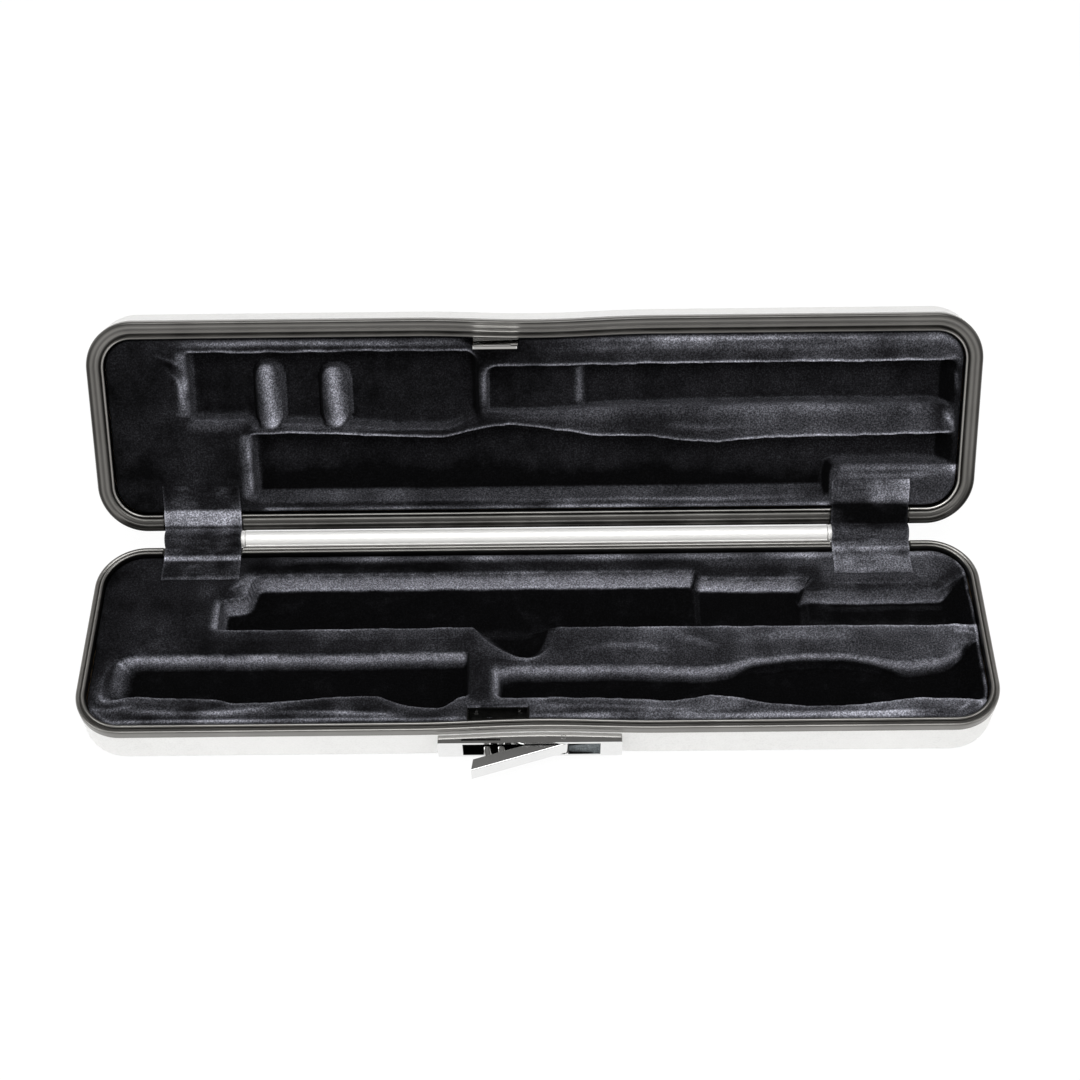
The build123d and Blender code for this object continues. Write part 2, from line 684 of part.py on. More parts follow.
neck_top = lining_drop + lid_lining_neck
with BuildPart(lid_plane) as lid_lining:
    add(slab(lid_rim_width + piece_clearance, lining_drop, neck_top, lining_edge_round, lining_drop))
    add(slab(lining_inset, neck_top, lid_shell_floor, lining_foot_round, lid_shell_floor))
    for form in (lid_foot_cavity, lid_head_cavity, lid_crown_cavity, lid_body_cavity, lid_tenon_cavity):
        add(cavity(form, lining_drop, 1), mode=Mode.SUBTRACT)
    for middle in bump_middles:
        add(lid_bump(middle))
    add(x_block(lid_pocket_start, lid_pocket_end, front, front + lid_pocket_reach,
                lining_drop, lining_drop + lid_pocket_depth), mode=Mode.SUBTRACT)
finish(lid_lining, "lid_lining")


# ---------------------------------------------------------------- velvet straps over the hinge
strap_radius = barrel_radius + piece_clearance + strap_thickness / 2


def strap_side(axis_z, rim_line_z, lining_line_z, rim_width):
    """Corners of a strap's middle line, from its end on a lining up to the side of the hinge."""
    climb_end = back - rim_width - piece_clearance
    climb_start = climb_end - strap_slope
    return [(climb_start - strap_lap, lining_line_z), (climb_start, lining_line_z), (climb_end, rim_line_z),
            (hinge_y - strap_radius, rim_line_z), (hinge_y - strap_radius, axis_z)]


base_side = strap_side(hinge_z, hinge_z - strap_spread, lining_top + strap_thickness / 2, base_rim_width)
lid_side = strap_side(lid_axis_z, lid_axis_z + strap_spread,
                      lining_drop - piece_clearance - strap_thickness / 2, lid_rim_width)
lid_side_open = [lid_plane.from_local_coords(Vector(0, y, z)) for y, z in lid_side]

for side, name in ((-1, "strap_left"), (1, "strap_right")):
    with BuildPart() as strap:
        with BuildSketch(Plane.YZ.offset(side * strap_offset - strap_width / 2)):
            with BuildLine():
                FilletPolyline(*base_side, radius=strap_bend)
                CenterArc((hinge_y, hinge_z), strap_radius, 180, -open_angle)
                FilletPolyline(*[(point.Y, point.Z) for point in lid_side_open], radius=strap_bend)
            trace(line_width=strap_thickness)
        extrude(amount=strap_width)
    finish(strap, name)
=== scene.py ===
import json
import math

import bpy
import numpy as np
from mathutils import Matrix, Vector

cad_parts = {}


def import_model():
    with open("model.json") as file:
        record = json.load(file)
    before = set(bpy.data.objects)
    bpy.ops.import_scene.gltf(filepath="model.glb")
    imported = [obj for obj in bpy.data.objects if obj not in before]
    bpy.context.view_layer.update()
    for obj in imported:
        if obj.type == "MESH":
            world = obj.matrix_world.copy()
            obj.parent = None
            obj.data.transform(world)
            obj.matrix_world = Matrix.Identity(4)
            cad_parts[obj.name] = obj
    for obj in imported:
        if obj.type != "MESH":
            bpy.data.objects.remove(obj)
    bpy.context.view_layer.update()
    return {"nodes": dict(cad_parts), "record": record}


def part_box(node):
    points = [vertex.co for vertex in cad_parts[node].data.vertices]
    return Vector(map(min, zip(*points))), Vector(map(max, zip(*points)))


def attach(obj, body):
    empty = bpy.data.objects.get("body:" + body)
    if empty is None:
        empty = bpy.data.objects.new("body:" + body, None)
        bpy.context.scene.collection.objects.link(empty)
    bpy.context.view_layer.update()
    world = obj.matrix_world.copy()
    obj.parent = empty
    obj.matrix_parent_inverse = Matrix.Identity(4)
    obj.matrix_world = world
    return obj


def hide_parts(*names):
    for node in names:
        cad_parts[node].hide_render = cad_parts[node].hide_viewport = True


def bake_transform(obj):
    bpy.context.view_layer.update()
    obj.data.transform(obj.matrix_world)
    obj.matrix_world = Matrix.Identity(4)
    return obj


# Flute case with its lid standing open. Lengths in this script are millimetres until they reach
# Blender, which takes metres. The frame: centre of the underside, +X along the case, -Y the latch side.

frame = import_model()

MM = 0.001


def corners(node):
    """Lowest and highest corner of a CAD node in millimetres."""
    return [[value / MM for value in corner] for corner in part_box(node)]


# ---- sizes taken from the frame
TONGUE_RISE = 0.8  # the tongue of the base's rim above the rim plane
RIM_GAP = 0.2  # between the two rim planes when the lid is shut
HALF_LENGTH, HALF_DEPTH, tongue_top = corners("base_rim")[1]
RIM_Z = tongue_top - TONGUE_RISE
LID_RIM_Z = RIM_Z + RIM_GAP
LINING_BOTTOM = corners("base_lining")[0][2]
pin_low, pin_high = corners("hinge_pin")
HINGE_Y = (pin_low[1] + pin_high[1]) / 2
HINGE_Z = (pin_low[2] + pin_high[2]) / 2
WELL_LOW, WELL_HIGH = corners("striker_well")
OPEN_ANGLE = frame["record"]["behaviour"]["joints"][0]["range_deg"][1]

# ---- sizes read from the photograph
LID_LINING_TOP = 21.0  # back of the lid's lining, above its rim plane
LINING_PLAY = 0.4  # the lid's velvet stays this far off the lid's panel
CORNER = 23.0
BOW_DEPTH, BOW_HALF = 1.4, 58.0  # the front edge's bow behind the latch: its depth and half its length
BASE_LINING_INSET = 4.7
LID_LINING_INSET = 8.9
BASE_SURFACE = 2.0  # velvet below the rim plane
LID_SURFACE = 2.0
STRAP_X, STRAP_WIDTH, STRAP_THICK = 164.5, 38.5, 0.8
STRAP_RELIEF = STRAP_WIDTH / 2 + 0.3  # half the width of the dip in each rim under a strap

LID_TURN = (Matrix.Translation((0, HINGE_Y, HINGE_Z))
            @ Matrix.Rotation(-math.radians(OPEN_ANGLE), 4, "X")
            @ Matrix.Translation((0, -HINGE_Y, -HINGE_Z)))


def opened(points):
    """Points of the shut lid, in millimetres, moved to where the lid stands open."""
    turn = np.array(LID_TURN)
    return points @ turn[:3, :3].T + turn[:3, 3]


# ---- small helpers
def smooth(t):
    """0 up to t = 0, 1 from t = 1 on, with an eased rise between."""
    t = np.clip(t, 0, 1)
    return t * t * (3 - 2 * t)


def rise(value, start, width):
    """0 up to the start and 1 from a width beyond it."""
    return smooth((value - start) / width)


def fall(value, end, width):
    """1 up to a width before the end and 0 beyond it."""
    return smooth((end - value) / width)


def hump(value, middle, width):
    """1 at the middle, fading on both sides within about twice the width."""
    return np.exp(-((value - middle) / width) ** 2)


def noise(x, y, size, seed):
    """Smooth random field of about -1 to 1 with features of the given size."""
    cells = 512
    table = np.random.default_rng(seed).uniform(-1, 1, (cells, cells))
    u, v = x / size + 1000, y / size + 1000
    i, j = np.floor(u).astype(int), np.floor(v).astype(int)
    fu, fv = smooth(u - i), smooth(v - j)

    def pick(a, b):
        return table[a % cells, b % cells]

    low = pick(i, j) * (1 - fu) + pick(i + 1, j) * fu
    high = pick(i, j + 1) * (1 - fu) + pick(i + 1, j + 1) * fu
    return low * (1 - fv) + high * fv


def add_object(name, data):
    """An object in the scene for a mesh, a light or a camera."""
    obj = bpy.data.objects.new(name, data)
    bpy.context.collection.objects.link(obj)
    return obj


def mesh_object(name, points, faces, material):
    """A mesh object with smooth faces from millimetre points."""
    mesh = bpy.data.meshes.new(name)
    mesh.from_pydata((points * MM).tolist(), [], faces)
    mesh.validate()
    mesh.update()
    mesh.polygons.foreach_set("use_smooth", [True] * len(mesh.polygons))
    mesh.materials.append(material)
    return add_object(name, mesh)


def point_values(obj, name, values):
    """Gives every point of a mesh a number that its material reads."""
    attribute = obj.data.attributes.new(name, "FLOAT", "POINT")
    attribute.data.foreach_set("value", values.ravel().astype(np.float32))


def grid_faces(rows, columns):
    """The quads of a grid of points, and the points round its border in order."""
    index = np.arange(rows * columns).reshape(rows, columns)
    quads = np.stack([index[:-1, :-1], index[1:, :-1], index[1:, 1:], index[:-1, 1:]], 2).reshape(-1, 4)
    loop = np.concatenate([index[:-1, 0], index[-1, :-1], index[:0:-1, -1], index[0, :0:-1]])
    return quads, loop


def bow(x):
    """How far the front edge bows in behind the latch."""
    return BOW_DEPTH * 0.5 * (1 + np.cos(np.pi * np.clip(x / BOW_HALF, -1, 1)))


# ---- materials
class Graph:
    """A material's or the world's nodes, with short calls for those used here."""

    def __init__(self, tree):
        self.nodes, self.links = tree.nodes, tree.links

    def add(self, kind, **inputs):
        """A new node with its inputs fed from outputs or set to values."""
        node = self.nodes.new("ShaderNode" + kind)
        for name, value in inputs.items():
            self.feed(node.inputs[name], value)
        return node

    def feed(self, socket, value):
        if isinstance(value, bpy.types.NodeSocket):
            self.links.new(value, socket)
        else:
            socket.default_value = value

    def place(self):
        """Object coordinates, which stay fixed to the piece."""
        return self.add("TexCoord").outputs["Object"]

    def noise(self, source, scale, detail, roughness=0.5):
        return self.add("TexNoise", Scale=scale, Detail=detail, Roughness=roughness, Vector=source).outputs["Fac"]

    def ramp(self, source, stops):
        """A ramp through stops: a position, and a colour or the brightness of a grey."""
        node = self.add("ValToRGB", Fac=source)
        elements = node.color_ramp.elements
        while len(elements) < len(stops):
            elements.new(0.5)
        for element, (position, colour) in zip(elements, stops):
            element.position = position
            element.color = (*(colour if isinstance(colour, tuple) else (colour,) * 3), 1.0)
        return node.outputs["Color"]

    def calc(self, operation, first, second):
        """One operation on two outputs or numbers."""
        node = self.add("Math")
        node.operation = operation
        self.feed(node.inputs[0], first)
        self.feed(node.inputs[1], second)
        return node.outputs["Value"]

    def mixed(self, first, first_share, second, second_share):
        """The weighted sum of two outputs."""
        return self.calc("ADD", self.calc("MULTIPLY", first, first_share),
                         self.calc("MULTIPLY", second, second_share))

    def swing(self, source, reach):
        """A noise output turned into a swing round zero."""
        return self.calc("MULTIPLY", self.calc("SUBTRACT", source, 0.5), reach)

    def blend(self, kind, factor, first, second):
        """Two colours blended into one."""
        node = self.add("Mix")
        node.data_type, node.blend_type = "RGBA", kind
        for name, value in zip(("Factor", "A", "B"), (factor, first, second)):
            self.feed(node.inputs[name], value)
        return node.outputs["Result"]

    def attribute(self, name):
        node = self.add("Attribute")
        node.attribute_name = name
        return node.outputs["Fac"]

    def tint(self, shader, socket, source, stops):
        """Feeds one of the shader's sockets from a ramp."""
        self.links.new(self.ramp(source, stops), shader.inputs[socket])

    def bump(self, shader, height, strength, distance):
        node = self.add("Bump", Strength=strength, Distance=distance, Height=height)
        self.links.new(node.outputs["Normal"], shader.inputs["Normal"])


def new_material(name):
    """A material with its graph and its shader."""
    material = bpy.data.materials.new(name)
    material.use_nodes = True
    graph = Graph(material.node_tree)
    return material, graph, graph.nodes["Principled BSDF"]


def leatherette_material():
    """White grained covering: small pebbles with a faint mottle."""
    material, graph, shader = new_material("leatherette")
    place = graph.place()
    cells = graph.add("TexVoronoi", Scale=1150, Vector=place)
    cells.feature = "SMOOTH_F1"
    cells.inputs["Smoothness"].default_value = 0.7
    mottle = graph.noise(place, 260, 4)
    broad = graph.noise(place, 22, 3)
    grain = graph.mixed(cells.outputs["Distance"], 0.7, mottle, 0.6)
    tone = graph.mixed(grain, 0.5, broad, 0.5)
    graph.tint(shader, "Base Color", tone,
               [(0.25, (0.95, 0.95, 0.94)), (0.6, (0.90, 0.90, 0.89)), (0.85, (0.82, 0.82, 0.81))])
    graph.tint(shader, "Roughness", grain, [(0.2, 0.42), (0.9, 0.62)])
    graph.bump(shader, graph.calc("SUBTRACT", 1.0, grain), 0.35, 0.00012)
    return material


def board_material():
    """Raw wood-fibre board of the shells."""
    material, graph, shader = new_material("board")
    place = graph.place()
    fibre = graph.noise(place, 900, 5, 0.7)
    broad = graph.noise(place, 60, 3)
    tone = graph.mixed(fibre, 0.6, broad, 0.4)
    graph.tint(shader, "Base Color", tone, [(0.3, (0.30, 0.20, 0.12)), (0.7, (0.46, 0.34, 0.22))])
    shader.inputs["Roughness"].default_value = 0.8
    graph.bump(shader, fibre, 0.4, 0.0002)
    return material


def metal_material(name, dark, light, rough_low, rough_high, grain_scale, bump, metallic=1.0):
    """Metal with cloudy tone, fine handling marks and uneven polish."""
    material, graph, shader = new_material(name)
    place = graph.place()
    shader.inputs["Metallic"].default_value = metallic
    fine = graph.noise(place, grain_scale, 4, 0.65)
    cloud = graph.noise(place, 70, 3)
    tone = graph.mixed(fine, 0.45, cloud, 0.55)
    graph.tint(shader, "Base Color", tone, [(0.3, dark), (0.7, light)])
    graph.tint(shader, "Roughness", fine, [(0.3, rough_low), (0.75, rough_high)])
    graph.bump(shader, fine, bump, 0.00004)
    return material


PILE_COLOUR = (0.345, 0.35, 0.40)  # the velvet's colour at the brightest painted light
PILE_CONTRAST = 3.3  # how steeply the colour falls as the painted light level drops
PILE_STEPS = (0.0, 0.2, 0.35, 0.5, 0.65, 0.8, 0.9, 1.0)
PILE_DARK = 0.12  # the level below which the colour falls no further
WALL_DARK = 0.18  # the painted light level below which the fade with depth takes away no more
PILE_EVEN = 17.0  # the deep attribute where the painted light stays as it is
DEEP_SCALE = 0.03  # brings the deep attribute within 0 to 1
# Painted light by the scaled attribute: above PILE_EVEN it fades with the depth, as in the base's two front recesses;
# below PILE_EVEN it dips just under the edge and is full again further down, as in the body's.
DEEP_LIGHT = [
    (0.0, 1.0), (0.27, 1.0), (0.36, 0.88), (0.44, 0.72), (0.49, 1.0), (0.58, 1.0), (0.67, 0.98), (0.77, 0.64),
    (0.88, 0.25),
]


def velvet_material(name, shift):
    """Short dark pile, with painted light and shade: the attribute it reads is 0 at the darkest painted shade and 1 at
    the brightest painted light.
    """
    material, graph, shader = new_material(name)
    place = graph.add("Mapping", Location=(shift, 0, 0), Vector=graph.place()).outputs["Vector"]
    painted_light = graph.attribute("painted_light")
    tufts = graph.noise(place, 1300, 2, 0.8)
    brushed = graph.swing(graph.noise(place, 85, 4, 0.6), 0.24)
    light = graph.ramp(graph.calc("MULTIPLY", graph.attribute("deep"), DEEP_SCALE), DEEP_LIGHT)
    level = graph.calc("ADD", graph.calc("MAXIMUM", graph.calc("MULTIPLY", painted_light, light), WALL_DARK), brushed)
    tone = graph.ramp(level, [(at, tuple(value * max(at, PILE_DARK) ** PILE_CONTRAST for value in PILE_COLOUR))
                              for at in PILE_STEPS])
    glitter = graph.ramp(tufts, [(0.34, 0.36), (0.5, 0.94), (0.67, 2.5)])
    graph.feed(shader.inputs["Base Color"], graph.blend("MULTIPLY", 1.0, tone, glitter))
    shader.inputs["Roughness"].default_value = 0.95
    shader.inputs["Specular IOR Level"].default_value = 0.04
    shader.inputs["Sheen Weight"].default_value = 0.010
    shader.inputs["Sheen Roughness"].default_value = 0.3
    shader.inputs["Sheen Tint"].default_value = (0.80, 0.82, 0.95, 1.0)
    graph.bump(shader, tufts, 0.6, 0.0003)
    return material


def rim_material():
    """Satin rail. The band attribute is painted light and shade: painted shade in the rail's grooves and painted
    highlights on its beads.
    """
    material, graph, shader = new_material("rim")
    place = graph.place()
    shader.inputs["Metallic"].default_value = 1.0
    band = graph.attribute("band")
    cloud = graph.noise(place, 45, 3)
    fine = graph.noise(place, 500, 3, 0.6)
    level = graph.calc("ADD", band, graph.swing(cloud, 0.10))
    graph.tint(shader, "Base Color", level, [(0.0, (0.012, 0.0115, 0.0105)), (1.0, (0.90, 0.88, 0.84))])
    graph.tint(shader, "Roughness", fine, [(0.3, 0.30), (0.75, 0.38)])
    graph.bump(shader, fine, 0.01, 0.00004)
    return material


LEATHERETTE = leatherette_material()
BOARD = board_material()
RIM_METAL = rim_material()
HINGE_STEEL = metal_material("hinge_steel", (0.86, 0.855, 0.84), (0.92, 0.915, 0.90), 0.46, 0.54, 900, 0.003, 0.3)
CHROME = metal_material("latch_chrome", (0.78, 0.78, 0.775), (0.84, 0.84, 0.835), 0.05, 0.12, 300, 0.006)
# painted shade and painted light: a near-black copy of the metal for the shaded latch pan and striker well, and a
# lighter copy for the pan's lit far end
LATCH_PAINTED_SHADE = metal_material("latch_inner", (0.030, 0.030, 0.029), (0.07, 0.07, 0.068), 0.16, 0.26, 400, 0.02)
LATCH_PAINTED_LIGHT = metal_material("latch_painted_light", (0.46, 0.48, 0.49), (0.60, 0.62, 0.63), 0.2, 0.3, 400, 0.02)
BASE_VELVET = velvet_material("velvet", 0.0)
LID_VELVET = velvet_material("velvet_lid", 0.37)
STRAP_VELVET = velvet_material("velvet_strap", 0.71)


def dress(nodes, material):
    """Gives CAD nodes a material."""
    for name in nodes:
        slots = frame["nodes"][name].data.materials
        slots.clear()
        slots.append(material)


dress(["base_covering", "lid_covering"], LEATHERETTE)
dress(["base_shell", "lid_shell"], BOARD)
dress(["hinge_centre_knuckle", "hinge_end_left", "hinge_end_right", "hinge_pin", "base_hinge_rivets",
       "lid_hinge_rivets"], HINGE_STEEL)
dress(["latch_plate", "latch_lever", "latch_studs", "latch_pivot", "lid_striker", "striker_screws",
       "well_tacks"], CHROME)
# painted shade: the near-black copy of the metal in the latch pan and the striker well
dress(["latch_pan", "striker_well"], LATCH_PAINTED_SHADE)

# painted light: the pan's faces beyond PAINTED_LIGHT_FROM take a lighter copy of its metal
PAINTED_LIGHT_FROM = 14.0  # along the case, where the painted light inside the latch pan begins
pan = frame["nodes"]["latch_pan"]
pan.data.materials.append(LATCH_PAINTED_LIGHT)
for polygon in pan.data.polygons:
    if (pan.matrix_world @ polygon.center).x > PAINTED_LIGHT_FROM * MM:
        polygon.material_index = 1


# ---- rims
PATH_PITCH = 2.0


def case_path():
    """Points round the case's edge seen from above, anticlockwise, with their inward normals."""
    straight_x = HALF_LENGTH - CORNER
    straight_y = HALF_DEPTH - CORNER
    xs = np.linspace(-straight_x, straight_x, int(2 * straight_x / PATH_PITCH))
    # two points close together at each side of a strap, where the rail steps down
    steps = [side * STRAP_X + end * STRAP_RELIEF + shift for side in (-1, 1) for end in (-1, 1)
             for shift in (-0.2, 0.2)]
    slope = np.gradient(bow(xs), xs)
    front_normal = np.stack([-slope, np.ones_like(xs)], 1)
    front = np.stack([xs, -HALF_DEPTH + bow(xs)], 1)
    back_x = np.sort(np.concatenate([xs, steps]))[::-1]
    ys = np.linspace(-straight_y, straight_y, int(2 * straight_y / PATH_PITCH))
    points, normals = [], []

    def add_run(run, normal):
        points.append(run[:-1])
        normals.append(np.broadcast_to(normal, run.shape)[:-1])

    def add_corner(centre, start):
        angles = np.radians(np.linspace(start, start + 90, 25))
        out = np.stack([np.cos(angles), np.sin(angles)], 1)
        add_run(np.array(centre) + CORNER * out, -out)

    add_run(front, front_normal)
    add_corner((straight_x, -straight_y), -90)
    add_run(np.stack([np.full_like(ys, HALF_LENGTH), ys], 1), (-1.0, 0.0))
    add_corner((straight_x, straight_y), 0)
    add_run(np.stack([back_x, np.full_like(back_x, HALF_DEPTH)], 1), (0.0, -1.0))
    add_corner((-straight_x, straight_y), 90)
    add_run(np.stack([np.full_like(ys, -HALF_LENGTH), ys[::-1]], 1), (1.0, 0.0))
    add_corner((-straight_x, -straight_y), 180)
    points, normals = np.concatenate(points), np.concatenate(normals)
    return points, normals / np.linalg.norm(normals, axis=1, keepdims=True)


def swept_rim(name, profile, relief_level, sign, rim_z, node, body, shade):
    """A rail with a closed profile of (inset, height above the rim plane, painted light and shade), pressed down under
    the straps.

    sign is 1 for the base's rail and -1 for the lid's; shade scales the painted light along the path."""
    path, normals = case_path()
    profile = np.array(profile)
    inset, height, tone = profile.T
    spots = path[:, None, :] + normals[:, None, :] * inset[None, :, None]
    heights = np.tile(height, (len(path), 1))
    under_strap = (path[:, 1] > HALF_DEPTH - 0.01) & (np.abs(np.abs(path[:, 0]) - STRAP_X) < STRAP_RELIEF)
    heights[under_strap] = np.minimum(heights[under_strap], relief_level)
    points = np.concatenate([spots, (rim_z + sign * heights)[:, :, None]], 2).reshape(-1, 3)
    index = np.arange(heights.size).reshape(heights.shape)
    after = np.roll(index, -1, 0)
    faces = np.stack([index, after, np.roll(after, -1, 1), np.roll(index, -1, 1)], 2).reshape(-1, 4)
    if sign < 0:
        faces, points = faces[:, ::-1], opened(points)
    rail = mesh_object(name, points, faces.tolist(), RIM_METAL)
    # painted light and shade on the rail
    values = tone[None, :] * shade(path[:, 0], path[:, 1], inset)
    point_values(rail, "band", np.clip(values, 0, 1))
    rail.data.set_sharp_from_angle(angle=math.radians(38))
    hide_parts(node)
    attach(rail, body)


def base_shade(x, y, inset):
    """Painted light: the ends and back a little lighter than the front."""
    lighter = 0.9 * smooth((np.abs(x) - 200) / 12) * rise(y, -48, 20)
    return (1.0 + lighter)[:, None] * np.ones_like(inset)[None, :]


def lid_shade(x, y, inset):
    """Painted light and shade: the lip is brightest at the ends; the side over the hinge is painted in shadow, most of
    all its outer edge.
    """
    ends = smooth((np.abs(x) - 190) / 20)
    right_low = rise(x, 120, 60) * rise(y, 20, 25)
    hinge_side = rise(y, 44, 7)
    lip = (inset > 6.9) & (inset < 8.3)
    outer = inset < 3.2
    middle = ~lip & ~outer
    return np.clip(1.0 + np.outer(1.5 * ends + 1.6 * right_low, lip)
                   - np.outer(np.maximum(0.75 * right_low, 0.93 * hinge_side), outer)
                   - np.outer(0.45 * hinge_side, middle) + np.outer(0.10 * ends, middle), 0.02, None)


# the rails' outlines: outer skirt, outer bead, groove, tongue, inner skirt, and back along the inside of the sheet;
# each point's third number is its painted light and shade
base_profile = [
    (0, -4.2, 0.24), (0, -2.0, 0.26), (0.0, -0.85, 0.26), (0.14, -0.42, 0.26), (0.52, -0.12, 0.20), (1.05, 0.0, 0.20),
    (1.58, -0.12, 0.24), (1.96, -0.42, 0.22), (2.15, -0.85, 0.18), (2.2, -1.0, 0.12), (2.75, -1.0, 0.13),
    (2.8, -0.1, 0.18), (2.91, 0.3, 0.22), (3.2, 0.59, 0.26), (3.6, 0.7, 0.22), (4.0, 0.59, 0.15), (4.29, 0.3, 0.10),
    (4.4, -0.1, 0.05), (4.4, -4.2, 0.02), (3.7, -4.2, 0.02), (3.7, -1.7, 0.02), (0.7, -1.7, 0.02), (0.7, -4.2, 0.02),
]
lid_profile = [
    (0, -4.2, 0.30), (0, -2.0, 0.30), (0.0, -1.1, 0.34), (0.10, -0.75, 0.34), (0.35, -0.42, 0.14), (0.8, -0.2, 0.07),
    (1.2, -0.3, 0.06), (1.55, -0.55, 0.10), (1.9, -0.62, 0.22), (2.4, -0.5, 0.32), (2.9, -0.62, 0.24),
    (3.3, -0.95, 0.15), (3.9, -1.02, 0.15), (4.4, -0.9, 0.21), (4.9, -0.8, 0.27), (5.4, -0.9, 0.22),
    (5.8, -1.15, 0.09), (6.2, -1.4, 0.02), (6.6, -1.4, 0.01), (6.9, -1.15, 0.06), (7.2, -0.45, 0.16),
    (7.6, -0.05, 0.24), (7.95, -0.1, 0.20), (8.3, -0.4, 0.10), (8.55, -0.8, 0.03), (8.6, -3.0, 0.02),
    (7.9, -3.0, 0.02), (7.9, -2.2, 0.02), (0.7, -2.2, 0.02), (0.7, -4.2, 0.02),
]
swept_rim("base_rim_beads", base_profile, -1.0, 1, RIM_Z, "base_rim", "base", base_shade)
swept_rim("lid_rim_beads", lid_profile, -1.2, -1, LID_RIM_Z, "lid_rim", "lid", lid_shade)


# ---- shape of the velvet linings
def rounded(points, radius):
    """A closed outline with its corners taken off in short curves."""
    points = np.array(points, float)
    result = []
    for before, here, after in zip(np.roll(points, 1, 0), points, np.roll(points, -1, 0)):
        a, b = before - here, after - here
        cut = min(radius, np.linalg.norm(a) / 2, np.linalg.norm(b) / 2)
        start = here + a / np.linalg.norm(a) * cut
        end = here + b / np.linalg.norm(b) * cut
        for t in np.linspace(0, 1, 7):
            result.append(start * (1 - t) ** 2 + here * 2 * t * (1 - t) + end * t * t)
    return np.array(result)


def signed_distance(x, y, outline):
    """Distance to a closed outline, negative inside it."""
    nearest = np.full(x.shape, 1e9)
    inside = np.zeros(x.shape, bool)
    for (x0, y0), (x1, y1) in zip(outline, np.roll(outline, -1, 0)):
        dx, dy = x1 - x0, y1 - y0
        along = np.clip(((x - x0) * dx + (y - y0) * dy) / (dx * dx + dy * dy + 1e-12), 0, 1)
        nearest = np.minimum(nearest, np.hypot(x - x0 - along * dx, y - y0 - along * dy))
        if dy:
            crosses = (y0 > y) != (y1 > y)
            inside ^= crosses & (x < (x1 - x0) * (y - y0) / dy + x0)
    return np.where(inside, -nearest, nearest)


def sunk(distance, depth, facing, wall, floor_round):
    """Depth at a signed distance from a recess's edge: rolled lip, wall, and curve into the floor.

    facing is the edge's outward direction. The velvet rolls widely over the edges on the hinge side and
    at the ends, and turns down sharply on the latch side."""
    away_x, away_y = facing
    lip = 1.0 + 3.0 * np.clip(away_y, 0, 1) ** 2 + 1.7 * away_x ** 2
    lip_depth = np.minimum(0.9 + 1.7 * np.clip(away_y, 0, 1) ** 2 + 1.0 * away_x ** 2, depth / 2)
    floor_depth = np.minimum(floor_round, depth - lip_depth)
    within = -distance
    roll = lip_depth * (1 - np.sqrt(1 - np.clip((within + lip) / lip, 0, 1) ** 2))
    drop = (depth - lip_depth - floor_depth) * np.clip(within / wall, 0, 1)
    curve = floor_depth * np.sqrt(1 - (1 - np.clip((within - wall) / floor_round, 0, 1)) ** 2)
    return roll + drop + curve


def slopes(field, xx, yy, least):
    """How a field changes along x and y; least is the shortest step of the grid that counts."""
    return (np.gradient(field, axis=0) / np.maximum(np.gradient(xx, axis=0), least),
            np.gradient(field, axis=1) / np.maximum(np.gradient(yy, axis=1), least))


def facing_of(xx, yy, distance):
    """Outward direction of a signed distance field, as its two parts."""
    slope_x, slope_y = slopes(distance, xx, yy, 0.02)
    size = np.maximum(np.hypot(slope_x, slope_y), 1e-6)
    return slope_x / size, slope_y / size


def recess(xx, yy, outline, corner, depth, wave, wall=1.0, floor_round=3.4):
    """A recess of the given depth, which may vary over the grid, inside an outline with eased corners.

    Returns its depth and the signed distance to its edge."""
    distance = signed_distance(xx, yy, rounded(outline, corner))
    facing = facing_of(xx, yy, distance)
    depth = np.maximum(np.broadcast_to(depth, xx.shape), 1e-3)
    return sunk(distance + wave, depth, facing, wall, floor_round), distance + wave


def opening(xx, yy, outline, corner, wave, depth, wall, floor_round):
    """Depth of a plain opening with steep walls."""
    distance = signed_distance(xx, yy, rounded(outline, corner)) + wave
    return sunk(distance, np.full(xx.shape, depth), (0.0, 0.0), wall, floor_round)


def along_line(x, y, points):
    """Distance from a polyline, and how far along it each place lies, from 0 to 1."""
    points = np.array(points, float)
    nearest = np.full(x.shape, 1e9)
    share = np.zeros(x.shape)
    lengths = np.hypot(*np.diff(points, axis=0).T)
    run = np.concatenate([[0], np.cumsum(lengths)])
    for (a, b, length, start) in zip(points[:-1], points[1:], lengths, run):
        dx, dy = b - a
        t = np.clip(((x - a[0]) * dx + (y - a[1]) * dy) / length ** 2, 0, 1)
        gap = np.hypot(x - a[0] - t * dx, y - a[1] - t * dy)
        closer = gap < nearest
        nearest = np.where(closer, gap, nearest)
        share = np.where(closer, (start + t * length) / run[-1], share)
    return nearest, share


def crease(x, y, points, height, width):
    """A soft fold along a line, highest half way and fading at its ends."""
    gap, share = along_line(x, y, points)
    return height * hump(gap, 0, width) * np.sin(np.pi * np.clip(share, 0.02, 0.98)) ** 0.5


def folded(xx, yy, plateau, folds):
    """The plateau with its folds standing up, and the height of the folds alone."""
    heights = np.zeros(xx.shape)
    for height, width, points in folds:
        fold = crease(xx, yy, points, height, width)
        plateau = plateau - fold
        heights += fold
    return plateau, heights


PITCH_X, PITCH_Y = 0.75, 0.5  # of the velvet's grid


